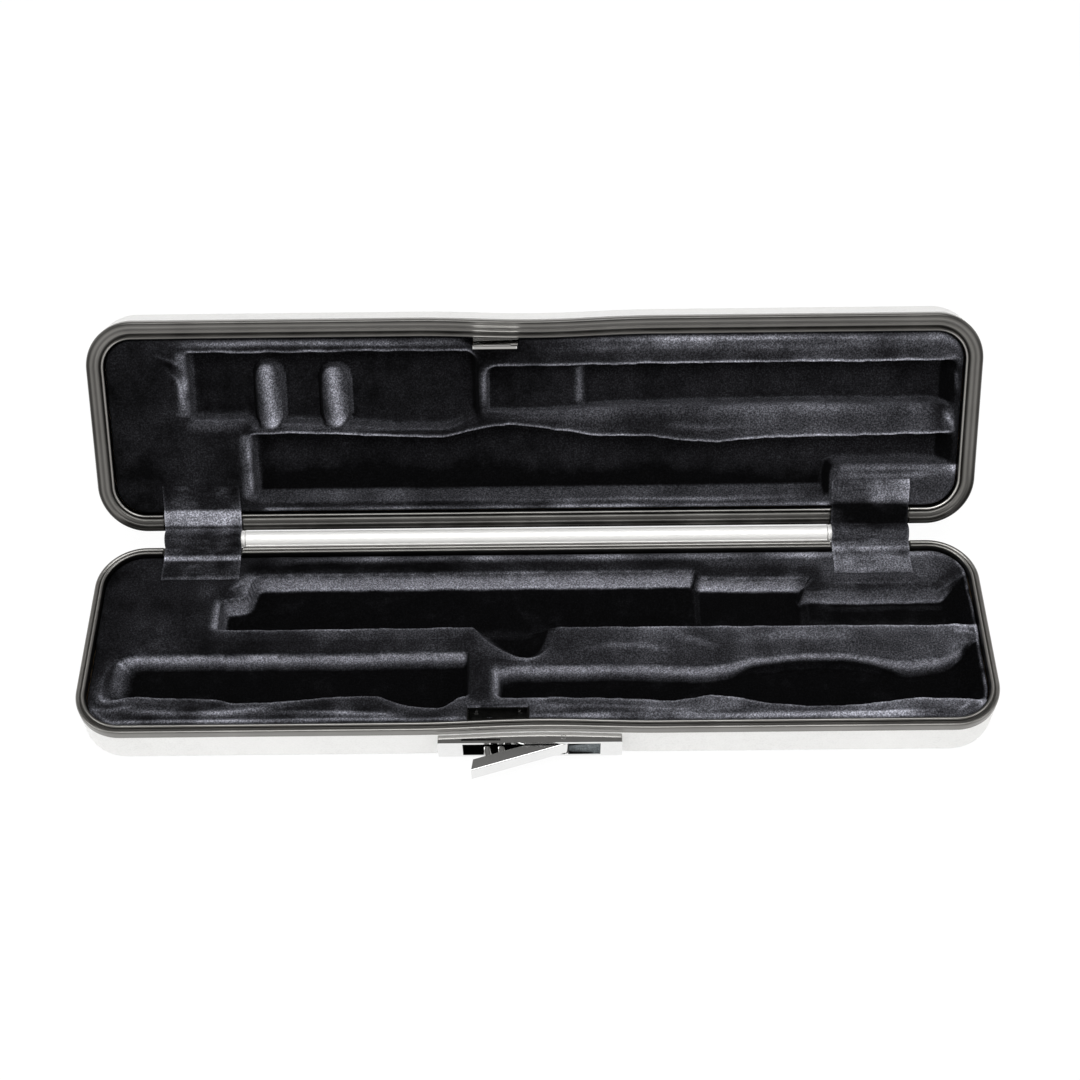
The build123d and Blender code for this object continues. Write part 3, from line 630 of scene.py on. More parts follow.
def lining_grid(inset):
    """Rows and columns that fill a lining's outline, and their gap to it."""
    half_x, half_y, radius = HALF_LENGTH - inset, HALF_DEPTH - inset, CORNER - inset
    flat_x, flat_y = half_x - radius, half_y - radius
    end_x = flat_x + radius * np.sin(np.linspace(0, np.pi / 2, 34))
    middle = np.linspace(-flat_x, flat_x, int(2 * flat_x / PITCH_X))
    x = np.concatenate([-end_x[::-1][:-1], middle, end_x[1:]])
    past = np.clip(np.abs(x) - flat_x, 0, radius)
    pull = radius - np.sqrt(np.maximum(radius ** 2 - past ** 2, 0))
    front_y, back_y = -half_y + pull + bow(x), half_y - pull
    v = np.linspace(0, 1, int(2 * half_y / PITCH_Y))
    yy = front_y[:, None] + (back_y - front_y)[:, None] * v[None, :]
    xx = np.repeat(x[:, None], len(v), 1)
    edge = np.minimum(np.minimum(yy - front_y[:, None], back_y[:, None] - yy), half_x - np.abs(xx))
    ax = np.clip(np.abs(xx) - flat_x, 0, None)
    ay = np.clip(np.abs(yy) - flat_y, 0, None)
    edge = np.where((ax > 0) & (ay > 0), radius - np.hypot(ax, ay), edge)
    return xx, yy, np.clip(edge, 0, None)


def drop_of(xx, yy, edge, plateau, parts, surface, strap_end, roll):
    """Velvet below the rim plane: plateau, flat under the straps' ends, recesses that meet softly, rolled edge."""
    for side in (-1, 1):
        patch = np.maximum(np.abs(xx - side * STRAP_X) - STRAP_WIDTH / 2, strap_end - yy)
        flat = surface + 0.12 + (plateau - surface) * smooth(patch / 1.5)
        plateau = np.where(patch < 1.5, flat, plateau)
    drop = plateau + sum(np.maximum(part, 0) ** 10 for part in parts) ** 0.1
    return drop + roll * (1 - np.sqrt(1 - np.clip(1 - edge / roll, 0, 1) ** 2))


# ---- painted light on the velvet
def painted_pile_light(xx, yy, drop, below, level, painted_floor_level, walls):
    """Painted light and shade of the velvet: plateau, floors, and walls that face the latch side, +X, -X and the hinge
    side.
    """
    gx, gy = slopes(drop, xx, yy, 0.05)
    slope = np.hypot(gx, gy)
    size = np.maximum(slope, 1e-6)
    below = np.maximum(below, 0)
    wall = sum(np.clip(part / size, 0, 1) ** 2 * tone for part, tone in zip((-gy, gx, -gx, gy), walls))
    on_wall = smooth(slope / 1.5) * rise(below, 0.9, 2.4) * (1 - 0.12 * rise(below, 7, 6))
    on_floor = rise(below, 2.0, 4.0) * (1 - smooth(slope / 1.1))
    base = level + (painted_floor_level - level) * on_floor
    return base + (wall - base) * on_wall


def painted_edge_light(xx, yy, distance, below, glow, glow_reach, crest, left, left_reach):
    """Painted highlights just outside a recess: a thin crest and a glow on its latch side, a glow at its left end."""
    away_x, away_y = facing_of(xx, yy, distance)
    to_latch = np.clip(-away_y, 0, 1) ** 2
    to_left = np.clip(-away_x, 0, 1) ** 2
    out = np.clip(distance, 0, None)
    near = rise(distance, -1.0, 0.8) * (1 - rise(below, 2.2, 1.6))
    light = to_latch * (glow * np.exp(-out / glow_reach) + crest * hump(distance, 0.5, 0.75))
    fade = 1 - smooth((out - 0.15 * left_reach) / (0.85 * left_reach))
    return near * (light + left * to_left * (fade + 0.5 * hump(distance, 0.6, 0.9)))


SIDE_PAINTED_LIGHT = 0.2  # painted light level on a lining's hidden sides and back


def lining_object(name, xx, yy, drop, painted_light, deep, shut_lid, bottom, material):
    """Closes the velvet surface with sides and a back, and adds the attributes its material reads."""
    sign = -1 if shut_lid else 1
    level = (LID_RIM_Z if shut_lid else RIM_Z) - sign * drop
    top = np.stack([xx, yy, level], 2).reshape(-1, 3)
    quads, loop = grid_faces(*xx.shape)
    under = top[loop].copy()
    under[:, 2] = bottom
    first, count = len(top), len(loop)
    ring = first + np.arange(count)
    sides = np.stack([loop, ring, np.roll(ring, -1), np.roll(loop, -1)], 1)
    faces = quads.tolist() + sides.tolist() + [ring[::-1].tolist()]
    points = np.concatenate([top, under])
    if shut_lid:
        faces = [face[::-1] for face in faces]
        points = opened(points)
    lining = mesh_object(name, points, faces, material)
    lining.data.polygons[-1].use_smooth = False
    point_values(lining, "painted_light", np.concatenate([painted_light.ravel(), np.full(count, SIDE_PAINTED_LIGHT)]))
    point_values(lining, "deep", np.concatenate([deep.ravel(), np.full(count, PILE_EVEN)]))
    return lining


# ---- the base's lining
OUTSIDE = -60.0  # a y well beyond the front edge
BASE_DEPTH = 13.2  # of the recesses for foot and head
WELL_EAR = 4.0  # the velvet covers this much of the striker well's flange at each end

# recess outlines seen from above
BODY = [
    (-153.8, 6.4), (-152.8, 5.2), (-142, 4.7), (-20, 5.2), (60, 4.6), (150, 4.4), (200, 4.2), (214, 2.6), (214, 37.0),
    (196, 24.8), (150, 24.6), (128.5, 24.6), (134.5, 33), (79, 33.6), (77.5, 37.8), (-136.5, 37.8), (-139.5, 35),
    (-141.5, 24.4), (-153.0, 23.2),
]
NOTCH = [
    (-31, 12), (-31, 6.5), (-28.5, 3.5), (-22.5, -3.3), (-15, -8.9), (-8, -12.0), (-3, -12.2), (1.5, -10.6),
    (4.6, -8), (6, -4), (7.2, 0), (8.6, 3.4), (10.5, 6.5), (10.5, 12),
]
FOOT = [
    (-204.2, -20), (-200, -11), (-190, -8.4), (-150, -8.6), (-90, -8.8), (-34, -8.2), (-32.4, -10), (-32.2, -33),
    (-37, -33.6), (-40.5, -36.5), (-45, -39.2), (-54, -38.6), (-61, -37.4), (-67, -35.6), (-74, -32.4), (-90, -32.4),
    (-115, -34.6), (-140, -35.9), (-148, -33.6), (-171, -32.6), (-190, -31.4), (-203.2, -33.5),
]
HEAD = [
    (-18.6, -18.4), (-12, -16.4), (30, -16.0), (60, -16.6), (78, -17.8), (90, -16.4), (101, -13.4), (125, -11.0),
    (148, -11.2), (160, -13.6), (171, -16.0), (193, -13.4), (214, -1.6), (216, -38), (192, -36.6), (177, -36.2),
    (160, -37.8), (145, -39.7), (126, -39.9), (107, -38.2), (94, -35.4), (81, -33.5), (61, -36.6), (37, -34.6),
    (0, -34.0), (-18.6, -33.8),
]
# folds behind the front rim, gathers at the corners and dents from brushing: height, width and middle line
BASE_FOLDS = [
    (0.9, 1.5, [(-192, -39.2), (-168, -41.6), (-146, -41.4), (-124, -38.6)]),
    (0.7, 1.0, [(-198, -45.2), (-150, -45.6), (-90, -45.2), (-38, -45.6)]),
    (0.8, 1.3, [(-126, -41.0), (-92, -41.6), (-62, -43.2)]),
    (0.6, 1.0, [(6, -43.2), (60, -43.6), (120, -45.2), (190, -43.8)]),
    (0.5, 1.2, [(2, -38.6), (32, -39.4), (58, -41.4), (90, -42.0)]),
    (0.6, 0.9, [(100, -43.4), (150, -44.2), (196, -42.6)]),
    (0.9, 1.1, [(194, -43.6), (199, -40.2), (200, -37.4)]),
    (0.8, 1.0, [(202, -44.0), (206, -40.0), (206, -37.0)]),
    (0.6, 1.2, [(-206, -30), (-196, -33.4), (-184, -35.0)]),
    (0.7, 1.3, [(-208, -38), (-199, -38.4), (-188, -37.6)]),
    (1.1, 1.0, [(197, 4.6), (203, 2.6), (209, 2.2)]),
    (0.8, 1.0, [(198, 1.0), (204, -0.4), (209, -1.6)]),
    (0.6, 1.3, [(-150, 27), (-146, 30), (-143, 34)]),
    (0.5, 2.0, [(22, -8.6), (36, -6.0), (52, -6.6), (64, -9.4)]),
    (0.6, 2.2, [(66, -1.0), (76, -3.4), (84, -7.6)]),
    (0.4, 3.0, [(96, -4.0), (120, -1.0), (150, -3.0)]),
]


def base_lining():
    """The base's velvet: its shape, then its painted light and shade."""
    xx, yy, edge = lining_grid(BASE_LINING_INSET)
    wave = 0.30 * noise(xx, yy, 9, 3) + 0.18 * noise(xx, yy, 3.2, 4)
    body_depth = 13.8 - 2.0 * rise(xx, 77.0, 3.0) - 3.2 * rise(xx, 128.0, 5.0)
    body_depth *= np.where(xx > 190, fall(xx, 211.0, 15.0), 1)
    foot_depth = BASE_DEPTH * np.maximum(rise(xx, -202, 12), 0.01)
    head_depth = BASE_DEPTH * np.where(xx > 185, fall(xx, 213.0, 17.0), 1)
    notch_depth = 1.0 + 9.0 * fall(xx, 13, 22)
    parts, distances = zip(recess(xx, yy, BODY, 2.6, body_depth, wave, 1.0, 2.2),
                           recess(xx, yy, NOTCH, 2.2, notch_depth, wave, 3.0),
                           recess(xx, yy, FOOT, 3.2, foot_depth, wave),
                           recess(xx, yy, HEAD, 3.2, head_depth, wave))
    # metal well for the striker: the velvet stops round it
    left, right, back = WELL_LOW[0] + WELL_EAR, WELL_HIGH[0] - WELL_EAR, WELL_HIGH[1] + 0.15
    well = [(left, OUTSIDE), (right, OUTSIDE), (right, back), (left, back)]
    well_depth = RIM_Z - BASE_SURFACE - WELL_LOW[2] + 0.3
    parts += (opening(xx, yy, well, 0.6, 0.2 * wave, well_depth, 0.5, 0.5),)

    plateau = BASE_SURFACE + 0.16 * noise(xx, yy, 14, 11) + 0.05 * noise(xx, yy, 4, 12)
    # the velvet behind the body recess dips before it rolls over, and sags beside the barrel
    plateau += 0.5 * hump(yy, 43.2, 1.6) * rise(xx, -138, 8) * fall(xx, 150, 20)
    plateau += 2.2 * rise(xx, 134, 10) * fall(yy, 37, 9) * rise(yy, 16, 8)
    # pad at the left end: a crease, with the corner in front of it lower
    plateau += 1.5 * smooth((-6.0 - yy - (xx + 203) * 0.7) / 3.0) * fall(xx, -190, 9)
    plateau -= crease(xx, yy, [(-212, -2.0), (-204, -6.6), (-199, -10.6), (-193, -12.4)], 0.5, 1.3)
    plateau, fold_height = folded(xx, yy, plateau, BASE_FOLDS)
    drop = drop_of(xx, yy, edge, plateau, parts, BASE_SURFACE, 31, 1.5)
    drop = np.minimum(drop, RIM_Z - LINING_BOTTOM - 1.5)
    distance = np.minimum.reduce(distances)

    # painted light and shade: lighter towards the right, painted shade just outside the recesses and on the right end
    # walls, darker painted floors, painted light on the walls
    to_right = rise(xx, -150, 260)
    below = drop - BASE_SURFACE
    on_top = fall(below, 3.5, 1.5)
    level = 0.29 + 0.17 * to_right + 0.08 * noise(xx, yy, 26, 22) + 0.04 * noise(xx, yy, 9, 25)
    level -= 0.12 * rise(yy, 6, 30) * hump(distance, 3.0, 3.5)
    painted_floor_level = 0.17 + 0.12 * hump(yy, 7.5, 4.5)
    end_wall = rise(xx, 196, 4) * smooth(-distance / 1.2)
    level *= 1 - 0.8 * end_wall
    painted_wall_light = (0.98 + 0.07 * noise(xx, yy, 22, 28)) * (1 - 0.22 * rise(xx, 124, 8) * (yy > 0))
    painted_wall_light *= 1 - 0.75 * rise(xx, 199, 5)
    # in the two front recesses the painted light fades down the walls, soonest in the middle of the head's
    depth = np.clip(below - 1.2, 0, 14)
    falls = fall(yy, 2.0, 2.0) * (1 - rise(xx, -33, 2) * fall(xx, 15, 2) * rise(yy, -15, 2))
    in_head = rise(xx, 88, 26) * fall(xx, 178, 26) * fall(yy, -9, 2)
    deep = PILE_EVEN + falls * depth * (1 + 0.9 * in_head)
    deep -= rise(yy, 2, 2) * depth
    deep = np.where(distance < 6.0, deep, PILE_EVEN)
    painted_light = painted_pile_light(xx, yy, drop, below, level, painted_floor_level,
                     (painted_wall_light, 0.42 + 0.20 * rise(yy, -34, 14), 0.12, 0.22))
    brushed = 0.85 + 0.3 * noise(xx, yy, 15, 24)
    painted_left_light = 0.10 + 0.30 * rise(yy, 3, 3) * fall(yy, 23, 3)
    painted_left_light += 0.30 * rise(xx, -40, 6) * (yy < -12)
    painted_light += brushed * painted_edge_light(xx, yy, distance, below, 0.20, 4.0, 0.26, painted_left_light, 5.0)
    # painted highlight on the corner where the body's recess widens and is rounded over
    painted_corner_light = rise(xx, -151, 12) * rise(yy, 21.5, 3) * fall(yy, 39, 4)
    painted_light += 0.34 * painted_corner_light * rise(distance, -1.5, 1.0) * (1 - rise(xx, -138.5, 2.5)) * (below < 6)
    # painted highlights on the strips along the front and the back and on the folds, and a painted bright line at the
    # right end
    strip = fall(yy, -34, 4)
    back_strip = hump(edge, 2.4, 1.8) * rise(yy, 40, 5) * rise(xx, -130, 20)
    painted_light += strip * on_top * (0.04 + 0.12 * noise(xx, yy * 2.5, 10, 26))
    painted_light += hump(edge, 2.3, 1.0) * strip * (0.17 + 0.22 * noise(xx, yy * 2, 21, 21))
    painted_light += back_strip * (0.22 + 0.18 * noise(xx, yy, 13, 23))
    painted_light += 0.42 * fold_height * on_top * (0.9 + 0.4 * noise(xx, yy, 11, 29))
    painted_end_line = hump(edge, 1.1, 0.8) * rise(xx, 204, 2)
    painted_light = np.clip(painted_light + painted_end_line * (0.42 + 0.25 * noise(xx, yy, 3.0, 27)), 0, 1)
    lining = lining_object("base_velvet", xx, yy, drop, painted_light, deep, False, LINING_BOTTOM, BASE_VELVET)
    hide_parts("base_lining")
    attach(lining, "base")


# ---- the lid's lining
# recess outlines seen from above with the lid shut
LID_FOOT = [
    (-168, -36.9), (-120, -36.4), (-60, -36.8), (-31, -36.2), (-27.2, -32), (-27.2, -4.5), (-35, 0.2), (-43, 3.0),
    (-67, 2.8), (-91, 1.2), (-120, -0.2), (-137.5, 1.6), (-140, -2.4), (-168, -2.6),
]
LID_HEAD = [
    (-23.6, -24.0), (-22.6, -27.0), (-19.0, -28.6), (40, -29.0), (110, -29.2), (190, -29.2), (209, -29.6),
    (209, -5.4), (192, -7.8), (110, -8.2), (60, -7.8), (26, -6.6), (2, -5.2), (-23.6, -5.4),
]
LID_BODY = [
    (-138.8, 4.2), (-120, 3.6), (-91, 4.6), (-67, 6.2), (-43, 6.6), (-35, 4.0), (-23, 1.4), (-12, 0.2), (5, 2.4),
    (28, 6.2), (57, 7.0), (70, 9.2), (88, 10.4), (101, 9.0), (113, 8.0), (146, 8.0), (191, 7.2), (209, 6.0),
    (209, 23.4), (192, 22.9), (146, 23.0), (144.4, 26), (144, 40.4), (20, 41.6), (-137.5, 41.4), (-139.2, 36),
]
POCKET = [(-37.5, OUTSIDE), (-6.0, OUTSIDE), (-7.4, -40.5), (-10, -38.4), (-30.5, -38.4), (-34.5, -40.5)]
# the two saddles in the foot's recess: their middle and half their size
SADDLES = [(-129.0, -14.4, 7.4, 16.8), (-97.0, -13.8, 7.6, 15.6)]
SADDLE_RISE = 7.2
LID_FOLDS = [
    (0.6, 1.2, [(-176, -40.6), (-120, -41.2), (-60, -40.0), (-38, -41.0)]),
    (0.6, 2.2, [(2, -36.4), (60, -38.0), (130, -36.6), (190, -38.2)]),
    (0.5, 1.0, [(-4, -41.0), (70, -41.4), (150, -41.0), (198, -40.4)]),
    (0.5, 1.2, [(-178, -30), (-172, -24), (-170, -14)]),
    (0.6, 1.0, [(-182, -36), (-174, -33), (-169, -30)]),
    (0.6, 1.1, [(199, -26), (203, -22), (204, -14)]),
    (0.7, 1.2, [(198, -4), (202, 1), (204, 8)]),
    (0.6, 1.0, [(196, -31), (201, -31.5), (205, -30)]),
    (0.5, 1.6, [(60, 0.4), (84, 3.0), (104, 1.8)]),
    (0.45, 1.3, [(-144, 10), (-142.5, 20), (-143, 32)]),
    (0.5, 1.4, [(150, 27.5), (175, 28.6), (200, 27.0)]),
    (0.7, 0.9, [(-134, 38.6), (-90, 37.4), (-30, 38.4), (10, 37.0)]),
    (0.8, 0.9, [(-20, 39.8), (40, 38.6), (90, 39.4), (140, 37.8)]),
]


def saddles(xx, yy, depth):
    """The depth of the foot's recess with the saddles standing in it, and the painted light and shade on them."""
    tone = np.zeros(xx.shape)
    for middle_x, middle_y, half_x, half_y in SADDLES:
        across, along = (xx - middle_x) / half_x, (yy - middle_y) / half_y
        reach = (np.abs(across) ** 2.6 + np.abs(along) ** 5) ** 0.3
        depth = np.maximum(depth - SADDLE_RISE * np.sqrt(np.clip(1 - np.minimum(reach, 1) ** 2.6, 0, 1)), 0.0)
        ridge = np.clip(0.10 + 0.22 * along, -0.2, 0.4)
        lit = 0.34 + 0.48 * hump(across, ridge, 0.55) + 0.16 * hump(across, 0.84, 0.12)
        tone = np.maximum(tone, fall(reach, 1, 0.2) * (lit + 0.14 * rise(along, 0.45, 0.4)))
    return depth, tone


def lid_lining():
    """The lid's velvet: its shape, then its painted light and shade."""
    xx, yy, edge = lining_grid(LID_LINING_INSET)
    wave = 0.30 * noise(xx, yy, 9, 33) + 0.18 * noise(xx, yy, 3.2, 34)
    right_end = fall(xx, 206.0, 10.0)
    head_depth = (6.2 + 3.6 * rise(xx, 20.5, 5.0)) * right_end
    body_depth = 10.0 * np.maximum(np.where(xx < 145, fall(yy, 42.0, 8.0), 1), 0.02) * right_end
    foot, foot_distance = recess(xx, yy, LID_FOOT, 3.0, 10.0, wave, 1.2)
    head, head_distance = recess(xx, yy, LID_HEAD, 2.8, head_depth, wave, 0.9, 1.6)
    body, body_distance = recess(xx, yy, LID_BODY, 3.0, body_depth, wave, 1.2)
    foot, saddle_painted_light = saddles(xx, yy, foot)
    parts = [foot, head, body, opening(xx, yy, POCKET, 1.6, 0.3 * wave, 11.5, 0.6, 0.8)]

    plateau = LID_SURFACE + 0.16 * noise(xx, yy, 15, 41) + 0.05 * noise(xx, yy, 4, 42)
    plateau, fold_height = folded(xx, yy, plateau, LID_FOLDS)
    drop = drop_of(xx, yy, edge, plateau, parts, LID_SURFACE, 27, 1.3)
    distance = np.minimum.reduce([foot_distance, head_distance, body_distance])

    # painted light and shade: lighter towards the right, and painted floors that darken towards the hinge side
    to_right = rise(xx, -60, 180)
    below = drop - LID_SURFACE
    on_top = fall(below, 3.5, 1.5)
    level = 0.255 + 0.165 * to_right + 0.08 * noise(xx, yy, 24, 52) + 0.04 * noise(xx, yy, 8, 54)
    # painted shade on the right end of the ridge between head and body, with one painted highlight
    ridge_end = rise(xx, 189, 9) * rise(yy, -30, 6) * fall(yy, 26, 6)
    level = level * (1 - 0.42 * ridge_end) + 0.3 * ridge_end * hump(xx, 200.5, 3.0) * hump(yy, -1.0, 5.0)
    painted_floor_level = 0.265 - 0.14 * rise(yy, 18, 16) + 0.05 * to_right + 0.04 * noise(xx, yy, 20, 55)
    painted_light = painted_pile_light(xx, yy, drop, below, level, painted_floor_level, (0.44, 0.50, 0.10, 0.30))
    brushed = 0.9 + 0.25 * noise(xx, yy, 15, 56)
    # a painted glow beside the left end of each recess
    painted_left_glow = painted_edge_light(xx, yy, foot_distance, below, 0, 1, 0, 0.48, 7.0) * fall(yy, -4, 3)
    painted_left_glow *= rise(yy, -39, 3)
    painted_left_glow += painted_edge_light(xx, yy, body_distance, below, 0, 1, 0, 0.42, 7.0) * rise(yy, 2, 3)
    painted_left_glow += painted_edge_light(xx, yy, head_distance, below, 0, 1, 0, 0.34, 4.0) * (xx < -10)
    painted_left_glow *= 0.85 + 0.5 * noise(xx * 2.5, yy, 7, 58)
    # painted light on the rolled edge of the velvet on the hinge side of the two front recesses
    _, away_y = facing_of(xx, yy, distance)
    painted_hinge_edge_light = rise(distance, -0.8, 0.8) * hump(np.clip(distance, 0, None), 0, 5.0) * np.clip(away_y, 0, 1) ** 2
    painted_light += painted_hinge_edge_light * (yy < 3) * (0.13 + 0.07 * noise(xx, yy, 16, 59)) * fall(xx, 190, 6)
    # painted highlights on the latch side of the recesses, and the painted glows
    painted_latch_edge_light = painted_edge_light(xx, yy, distance, below, 0.10, 3.0, 0.58, 0, 1) * fall(xx, 204, 4)
    painted_light += brushed * (painted_latch_edge_light + painted_left_glow * fall(yy, 40, 6))
    # painted highlight on the step in the floor of the head's recess
    painted_light += 0.30 * hump(xx, 21.4, 1.7) * rise(yy, -28, 2) * fall(yy, -8, 3) * rise(xx, 10, 4)
    # painted light on the pad beside the right strap and on its rolled edge
    beside = rise(xx, 147, 4) * rise(yy, 21, 2) * on_top
    painted_light += beside * (0.05 + 0.16 * hump(distance, 1.2, 1.3) * fall(yy, 30, 3))
    painted_light = np.where(saddle_painted_light > 0, np.maximum(painted_light, saddle_painted_light), painted_light)
    # painted light on the strips along the front and the hinge side, and on the folds
    top_strip = hump(edge, 2.0, 2.2) * fall(yy, -32, 6) * rise(xx, -176, 16)
    top_strip *= 1 - 0.75 * rise(xx, -24, 10) * fall(xx, 64, 30)
    low_strip = rise(yy, 33, 2.5) * rise(xx, -137, 6) * fall(xx, 147, 4)
    painted_light += top_strip * (0.19 + 0.20 * noise(xx, yy * 2, 19, 51))
    painted_light += low_strip * (0.03 + 0.08 * noise(xx, yy * 3, 14, 53))
    painted_light += hump(edge, 1.5, 0.9) * low_strip * (0.32 + 0.2 * noise(xx, yy * 2, 16, 57))
    painted_light = np.clip(painted_light + 0.36 * fold_height * on_top * (0.9 + 0.4 * noise(xx, yy, 11, 60)), 0, 1)
    lining = lining_object("lid_velvet", xx, yy, drop, painted_light, np.full(xx.shape, PILE_EVEN), True,
                           LID_RIM_Z + LID_LINING_TOP - LINING_PLAY, LID_VELVET)
    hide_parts("lid_lining")
    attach(lining, "lid")


base_lining()
lid_lining()

# ---- velvet straps over the hinge ends
STRAP_RADIUS = 4.6  # of the turn round the hinge pin
BASE_RIM_WIDTH, LID_RIM_WIDTH = 4.4, 8.6
STRAP_LAP, STRAP_CLIMB, STRAP_GAP = 12.0, 2.0, 0.3
STRAP_SPREAD = 0.6  # the strap's middle line to the hinge pin's plane, on each rim
STRAP_PITCH = 0.5
# painted light and shade along each strap, by millimetres from the strap's end on the base; the two straps are painted
# differently
STRAP_PAINTED_LIGHT = {
    -1: [(0, 0.55), (1.0, 0.56), (2.5, 0.38), (10.5, 0.40), (11.6, 0.80), (13.0, 0.84), (14.6, 0.40), (25, 0.36),
         (28.0, 0.60), (29.6, 0.62), (31.0, 0.42), (32.4, 0.86), (37.5, 0.93), (39.0, 0.88), (40.5, 0.42), (53, 0.30)],
    1: [(0, 0.60), (1.5, 0.74), (10, 0.71), (12.0, 0.58), (14.5, 0.84), (16.0, 0.66), (19, 0.56), (24, 0.50),
        (28.5, 0.36), (30, 0.24), (39, 0.20), (40.3, 0.56), (42.0, 0.76), (50, 0.77), (53, 0.66)],
}


def strap_line():
    """The strap's middle line from its end on the base's velvet to its end on the lid's, as (y, z)."""
    arc_front = HINGE_Y - STRAP_RADIUS
    base_end = HALF_DEPTH - BASE_RIM_WIDTH - STRAP_GAP
    lying = RIM_Z - BASE_SURFACE + STRAP_THICK / 2
    on_rim = HINGE_Z - STRAP_SPREAD
    base = [(base_end - STRAP_CLIMB - STRAP_LAP, lying), (base_end - STRAP_CLIMB, lying), (base_end, on_rim),
            (arc_front - 0.4, on_rim)]
    turn = [(HINGE_Y + STRAP_RADIUS * math.cos(a), HINGE_Z + STRAP_RADIUS * math.sin(a))
            for a in np.radians(np.linspace(180, 180 - OPEN_ANGLE, 14))]
    lid_end = HALF_DEPTH - LID_RIM_WIDTH - STRAP_GAP
    above = LID_RIM_Z + LID_SURFACE - STRAP_GAP - STRAP_THICK / 2
    lid = [(arc_front - 0.4, HINGE_Z + STRAP_SPREAD), (lid_end, HINGE_Z + STRAP_SPREAD),
           (lid_end - STRAP_CLIMB, above), (lid_end - STRAP_CLIMB - STRAP_LAP, above)]
    lid = opened(np.array([(0, y, z) for y, z in lid]))[:, 1:]
    return np.concatenate([base, turn, lid])


def even(line, pitch):
    """The same line with points at an even pitch and its corners eased, and its length."""
    run = np.concatenate([[0], np.cumsum(np.hypot(*np.diff(line, axis=0).T))])
    at = np.linspace(0, run[-1], int(run[-1] / pitch) + 1)
    points = np.stack([np.interp(at, run, column) for column in line.T], 1)
    for _ in range(3):
        points[1:-1] = 0.25 * points[:-2] + 0.5 * points[1:-1] + 0.25 * points[2:]
    return points, run[-1]


def strap(name, side, seed, node):
    """One strap, laid over both rims and the hinge."""
    line, length = even(strap_line(), STRAP_PITCH)
    ahead = np.gradient(line, axis=0)
    ahead /= np.linalg.norm(ahead, axis=1, keepdims=True)
    out = np.stack([-ahead[:, 1], ahead[:, 0]], 1)
    ss, uu = np.meshgrid(np.linspace(0, length, len(line)), np.linspace(-1, 1, 75), indexing="ij")
    width = STRAP_WIDTH / 2 - 0.25 + 0.22 * noise(ss, 3 * np.sign(uu), 6, seed)
    x = side * STRAP_X + uu * width
    to_end = np.minimum(ss, length - ss)
    ripple = (0.07 + 0.10 * smooth((to_end - STRAP_LAP) / 3)) * noise(x, ss * 2.2, 5.5, seed + 1)
    to_edge = (1 - np.abs(uu)) * width
    edge_round = np.clip(to_edge / (STRAP_THICK / 2), 0, 1)
    end_round = np.clip(to_end / (STRAP_THICK / 2), 0, 1)
    half = STRAP_THICK / 2 * np.sqrt(np.clip(1 - (1 - edge_round) ** 2, 0.02, 1)) * (0.35 + 0.65 * end_round)

    def layer(offset):
        return np.stack([x, line[:, :1] + out[:, :1] * offset, line[:, 1:] + out[:, 1:] * offset], 2).reshape(-1, 3)

    points = np.concatenate([layer(ripple + half), layer(ripple - half)])
    quads, loop = grid_faces(*ss.shape)
    second = ss.size
    after = np.roll(loop, -1)
    border = np.stack([loop, after, after + second, loop + second], 1)
    band = mesh_object(name, points, np.concatenate([quads[:, ::-1], quads + second, border]).tolist(), STRAP_VELVET)
    # painted light along the strap; on the lid end of the right strap one side is painted lighter; painted highlights
    # along both edges
    along = np.interp(ss, *np.array(STRAP_PAINTED_LIGHT[side]).T)
    if side > 0:
        on_lid = rise(ss, 36, 4)
        along = along * ((0.86 + 0.06 * rise(ss, 10, 4)) * (1 - on_lid) + (0.82 + 0.22 * uu) * on_lid)
    tone = along + 0.16 * hump(to_edge, 0, 0.8)
    tone = np.clip(tone + 0.09 * noise(x, ss, 7, seed + 2) + 0.05 * noise(x, ss * 3, 4, seed + 3), 0, 1)
    point_values(band, "painted_light", np.concatenate([tone, tone]))
    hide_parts(node)
    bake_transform(band)


strap("strap_velvet_left", -1, 61, "strap_left")
strap("strap_velvet_right", 1, 71, "strap_right")

# ---- floor, light and camera
FLOOR_SIZE = 8.0  # metres


def floor():
    """A pale floor that looks white to the camera and in the metal, so that no horizon shows."""
    half = FLOOR_SIZE / 2
    mesh = bpy.data.meshes.new("floor")
    mesh.from_pydata([(-half, -half, 0), (half, -half, 0), (half, half, 0), (-half, half, 0)], [], [(0, 1, 2, 3)])
    material, graph, _ = new_material("floor")
    graph.nodes.clear()
    lit = graph.add("BsdfDiffuse", Color=(0.86, 0.86, 0.86, 1))
    seen = graph.add("Emission", Strength=1.04)
    path = graph.add("LightPath")
    watched = graph.calc("MAXIMUM", path.outputs["Is Camera Ray"], path.outputs["Is Glossy Ray"])
    mix = graph.add("MixShader", Fac=graph.calc("MULTIPLY", watched, 0.9))
    graph.feed(mix.inputs[1], lit.outputs["BSDF"])
    graph.feed(mix.inputs[2], seen.outputs["Emission"])
    graph.add("OutputMaterial", Surface=mix.outputs["Shader"])
    mesh.materials.append(material)
    obj = add_object("floor", mesh)


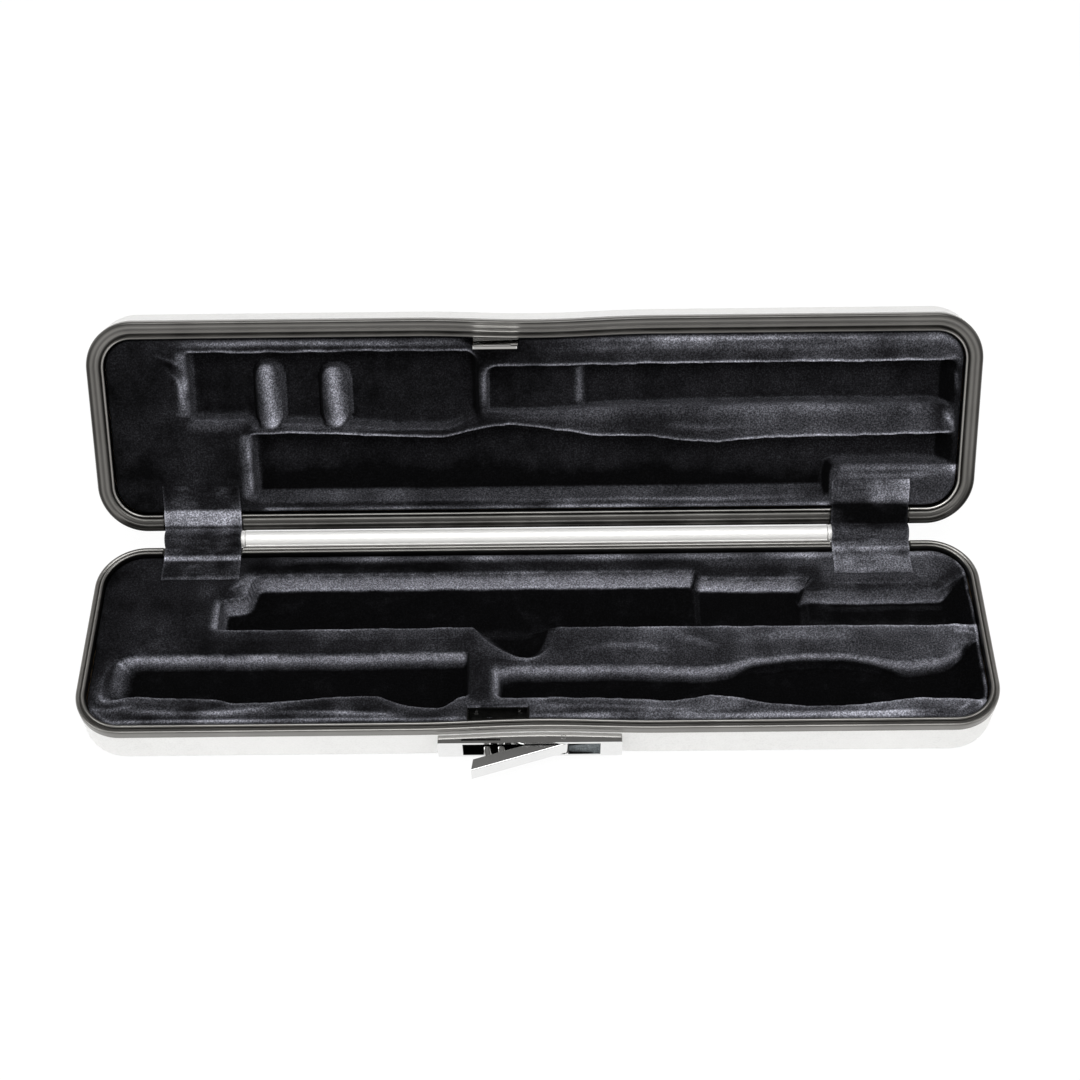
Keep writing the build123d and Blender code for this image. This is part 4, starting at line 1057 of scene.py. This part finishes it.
def world():
    """Plain studio surroundings, dark in a band overhead, and white where the camera sees them."""
    made = bpy.data.worlds.new("studio")
    bpy.context.scene.world = made
    made.use_nodes = True
    graph = Graph(made.node_tree)
    split = graph.add("SeparateXYZ", Vector=graph.add("TexCoord").outputs["Generated"])
    around = graph.ramp(split.outputs["Z"], [(0.0, (0.68, 0.67, 0.66)), (0.35, (0.52, 0.51, 0.50)),
                                             (0.62, (0.34, 0.335, 0.33)), (0.76, (0.06, 0.057, 0.053)),
                                             (0.86, (0.06, 0.057, 0.053)), (0.95, 0.6)])
    seen = graph.blend("MIX", graph.add("LightPath").outputs["Is Camera Ray"], around, (1.0, 1.0, 1.0, 1.0))
    background = graph.nodes["Background"]
    graph.feed(background.inputs["Color"], seen)
    background.inputs["Strength"].default_value = 1.0


def area_light(name, place, width, height, power):
    """A panel light that looks at the middle of the case."""
    data = bpy.data.lights.new(name, "AREA")
    data.shape = "RECTANGLE"
    data.size, data.size_y = width, height
    data.energy = power
    obj = add_object(name, data)
    obj.location = place
    obj.rotation_mode = "QUATERNION"
    obj.rotation_quaternion = (-Vector(place)).to_track_quat("-Z", "Y")


CAMERA_PLACE = (0.0059, -0.4358, 0.7011)
CAMERA_TURN = (0.476, 90 - 54.01, -0.977)  # azimuth, tilt from looking straight down, and roll, in degrees
CAMERA_LENS = 56.248


def camera():
    """The photograph's viewpoint, as fitted to the outline of base and lid."""
    data = bpy.data.cameras.new("camera")
    data.lens = CAMERA_LENS
    data.sensor_width = 36.0
    data.clip_start, data.clip_end = 0.05, 20
    obj = add_object("camera", data)
    azimuth, tilt, roll = (Matrix.Rotation(math.radians(angle), 4, axis) for angle, axis in zip(CAMERA_TURN, "ZXZ"))
    obj.matrix_world = Matrix.Translation(CAMERA_PLACE) @ azimuth @ tilt @ roll
    bpy.context.scene.camera = obj


floor()
world()
area_light("light_top", (0.0, -0.25, 1.5), 1.3, 0.9, 16)
area_light("light_left", (-1.3, -0.5, 1.0), 0.8, 0.8, 7)
area_light("light_right", (1.3, -0.4, 1.0), 0.8, 0.8, 5)
camera()
bpy.context.scene.view_settings.view_transform = "Standard"
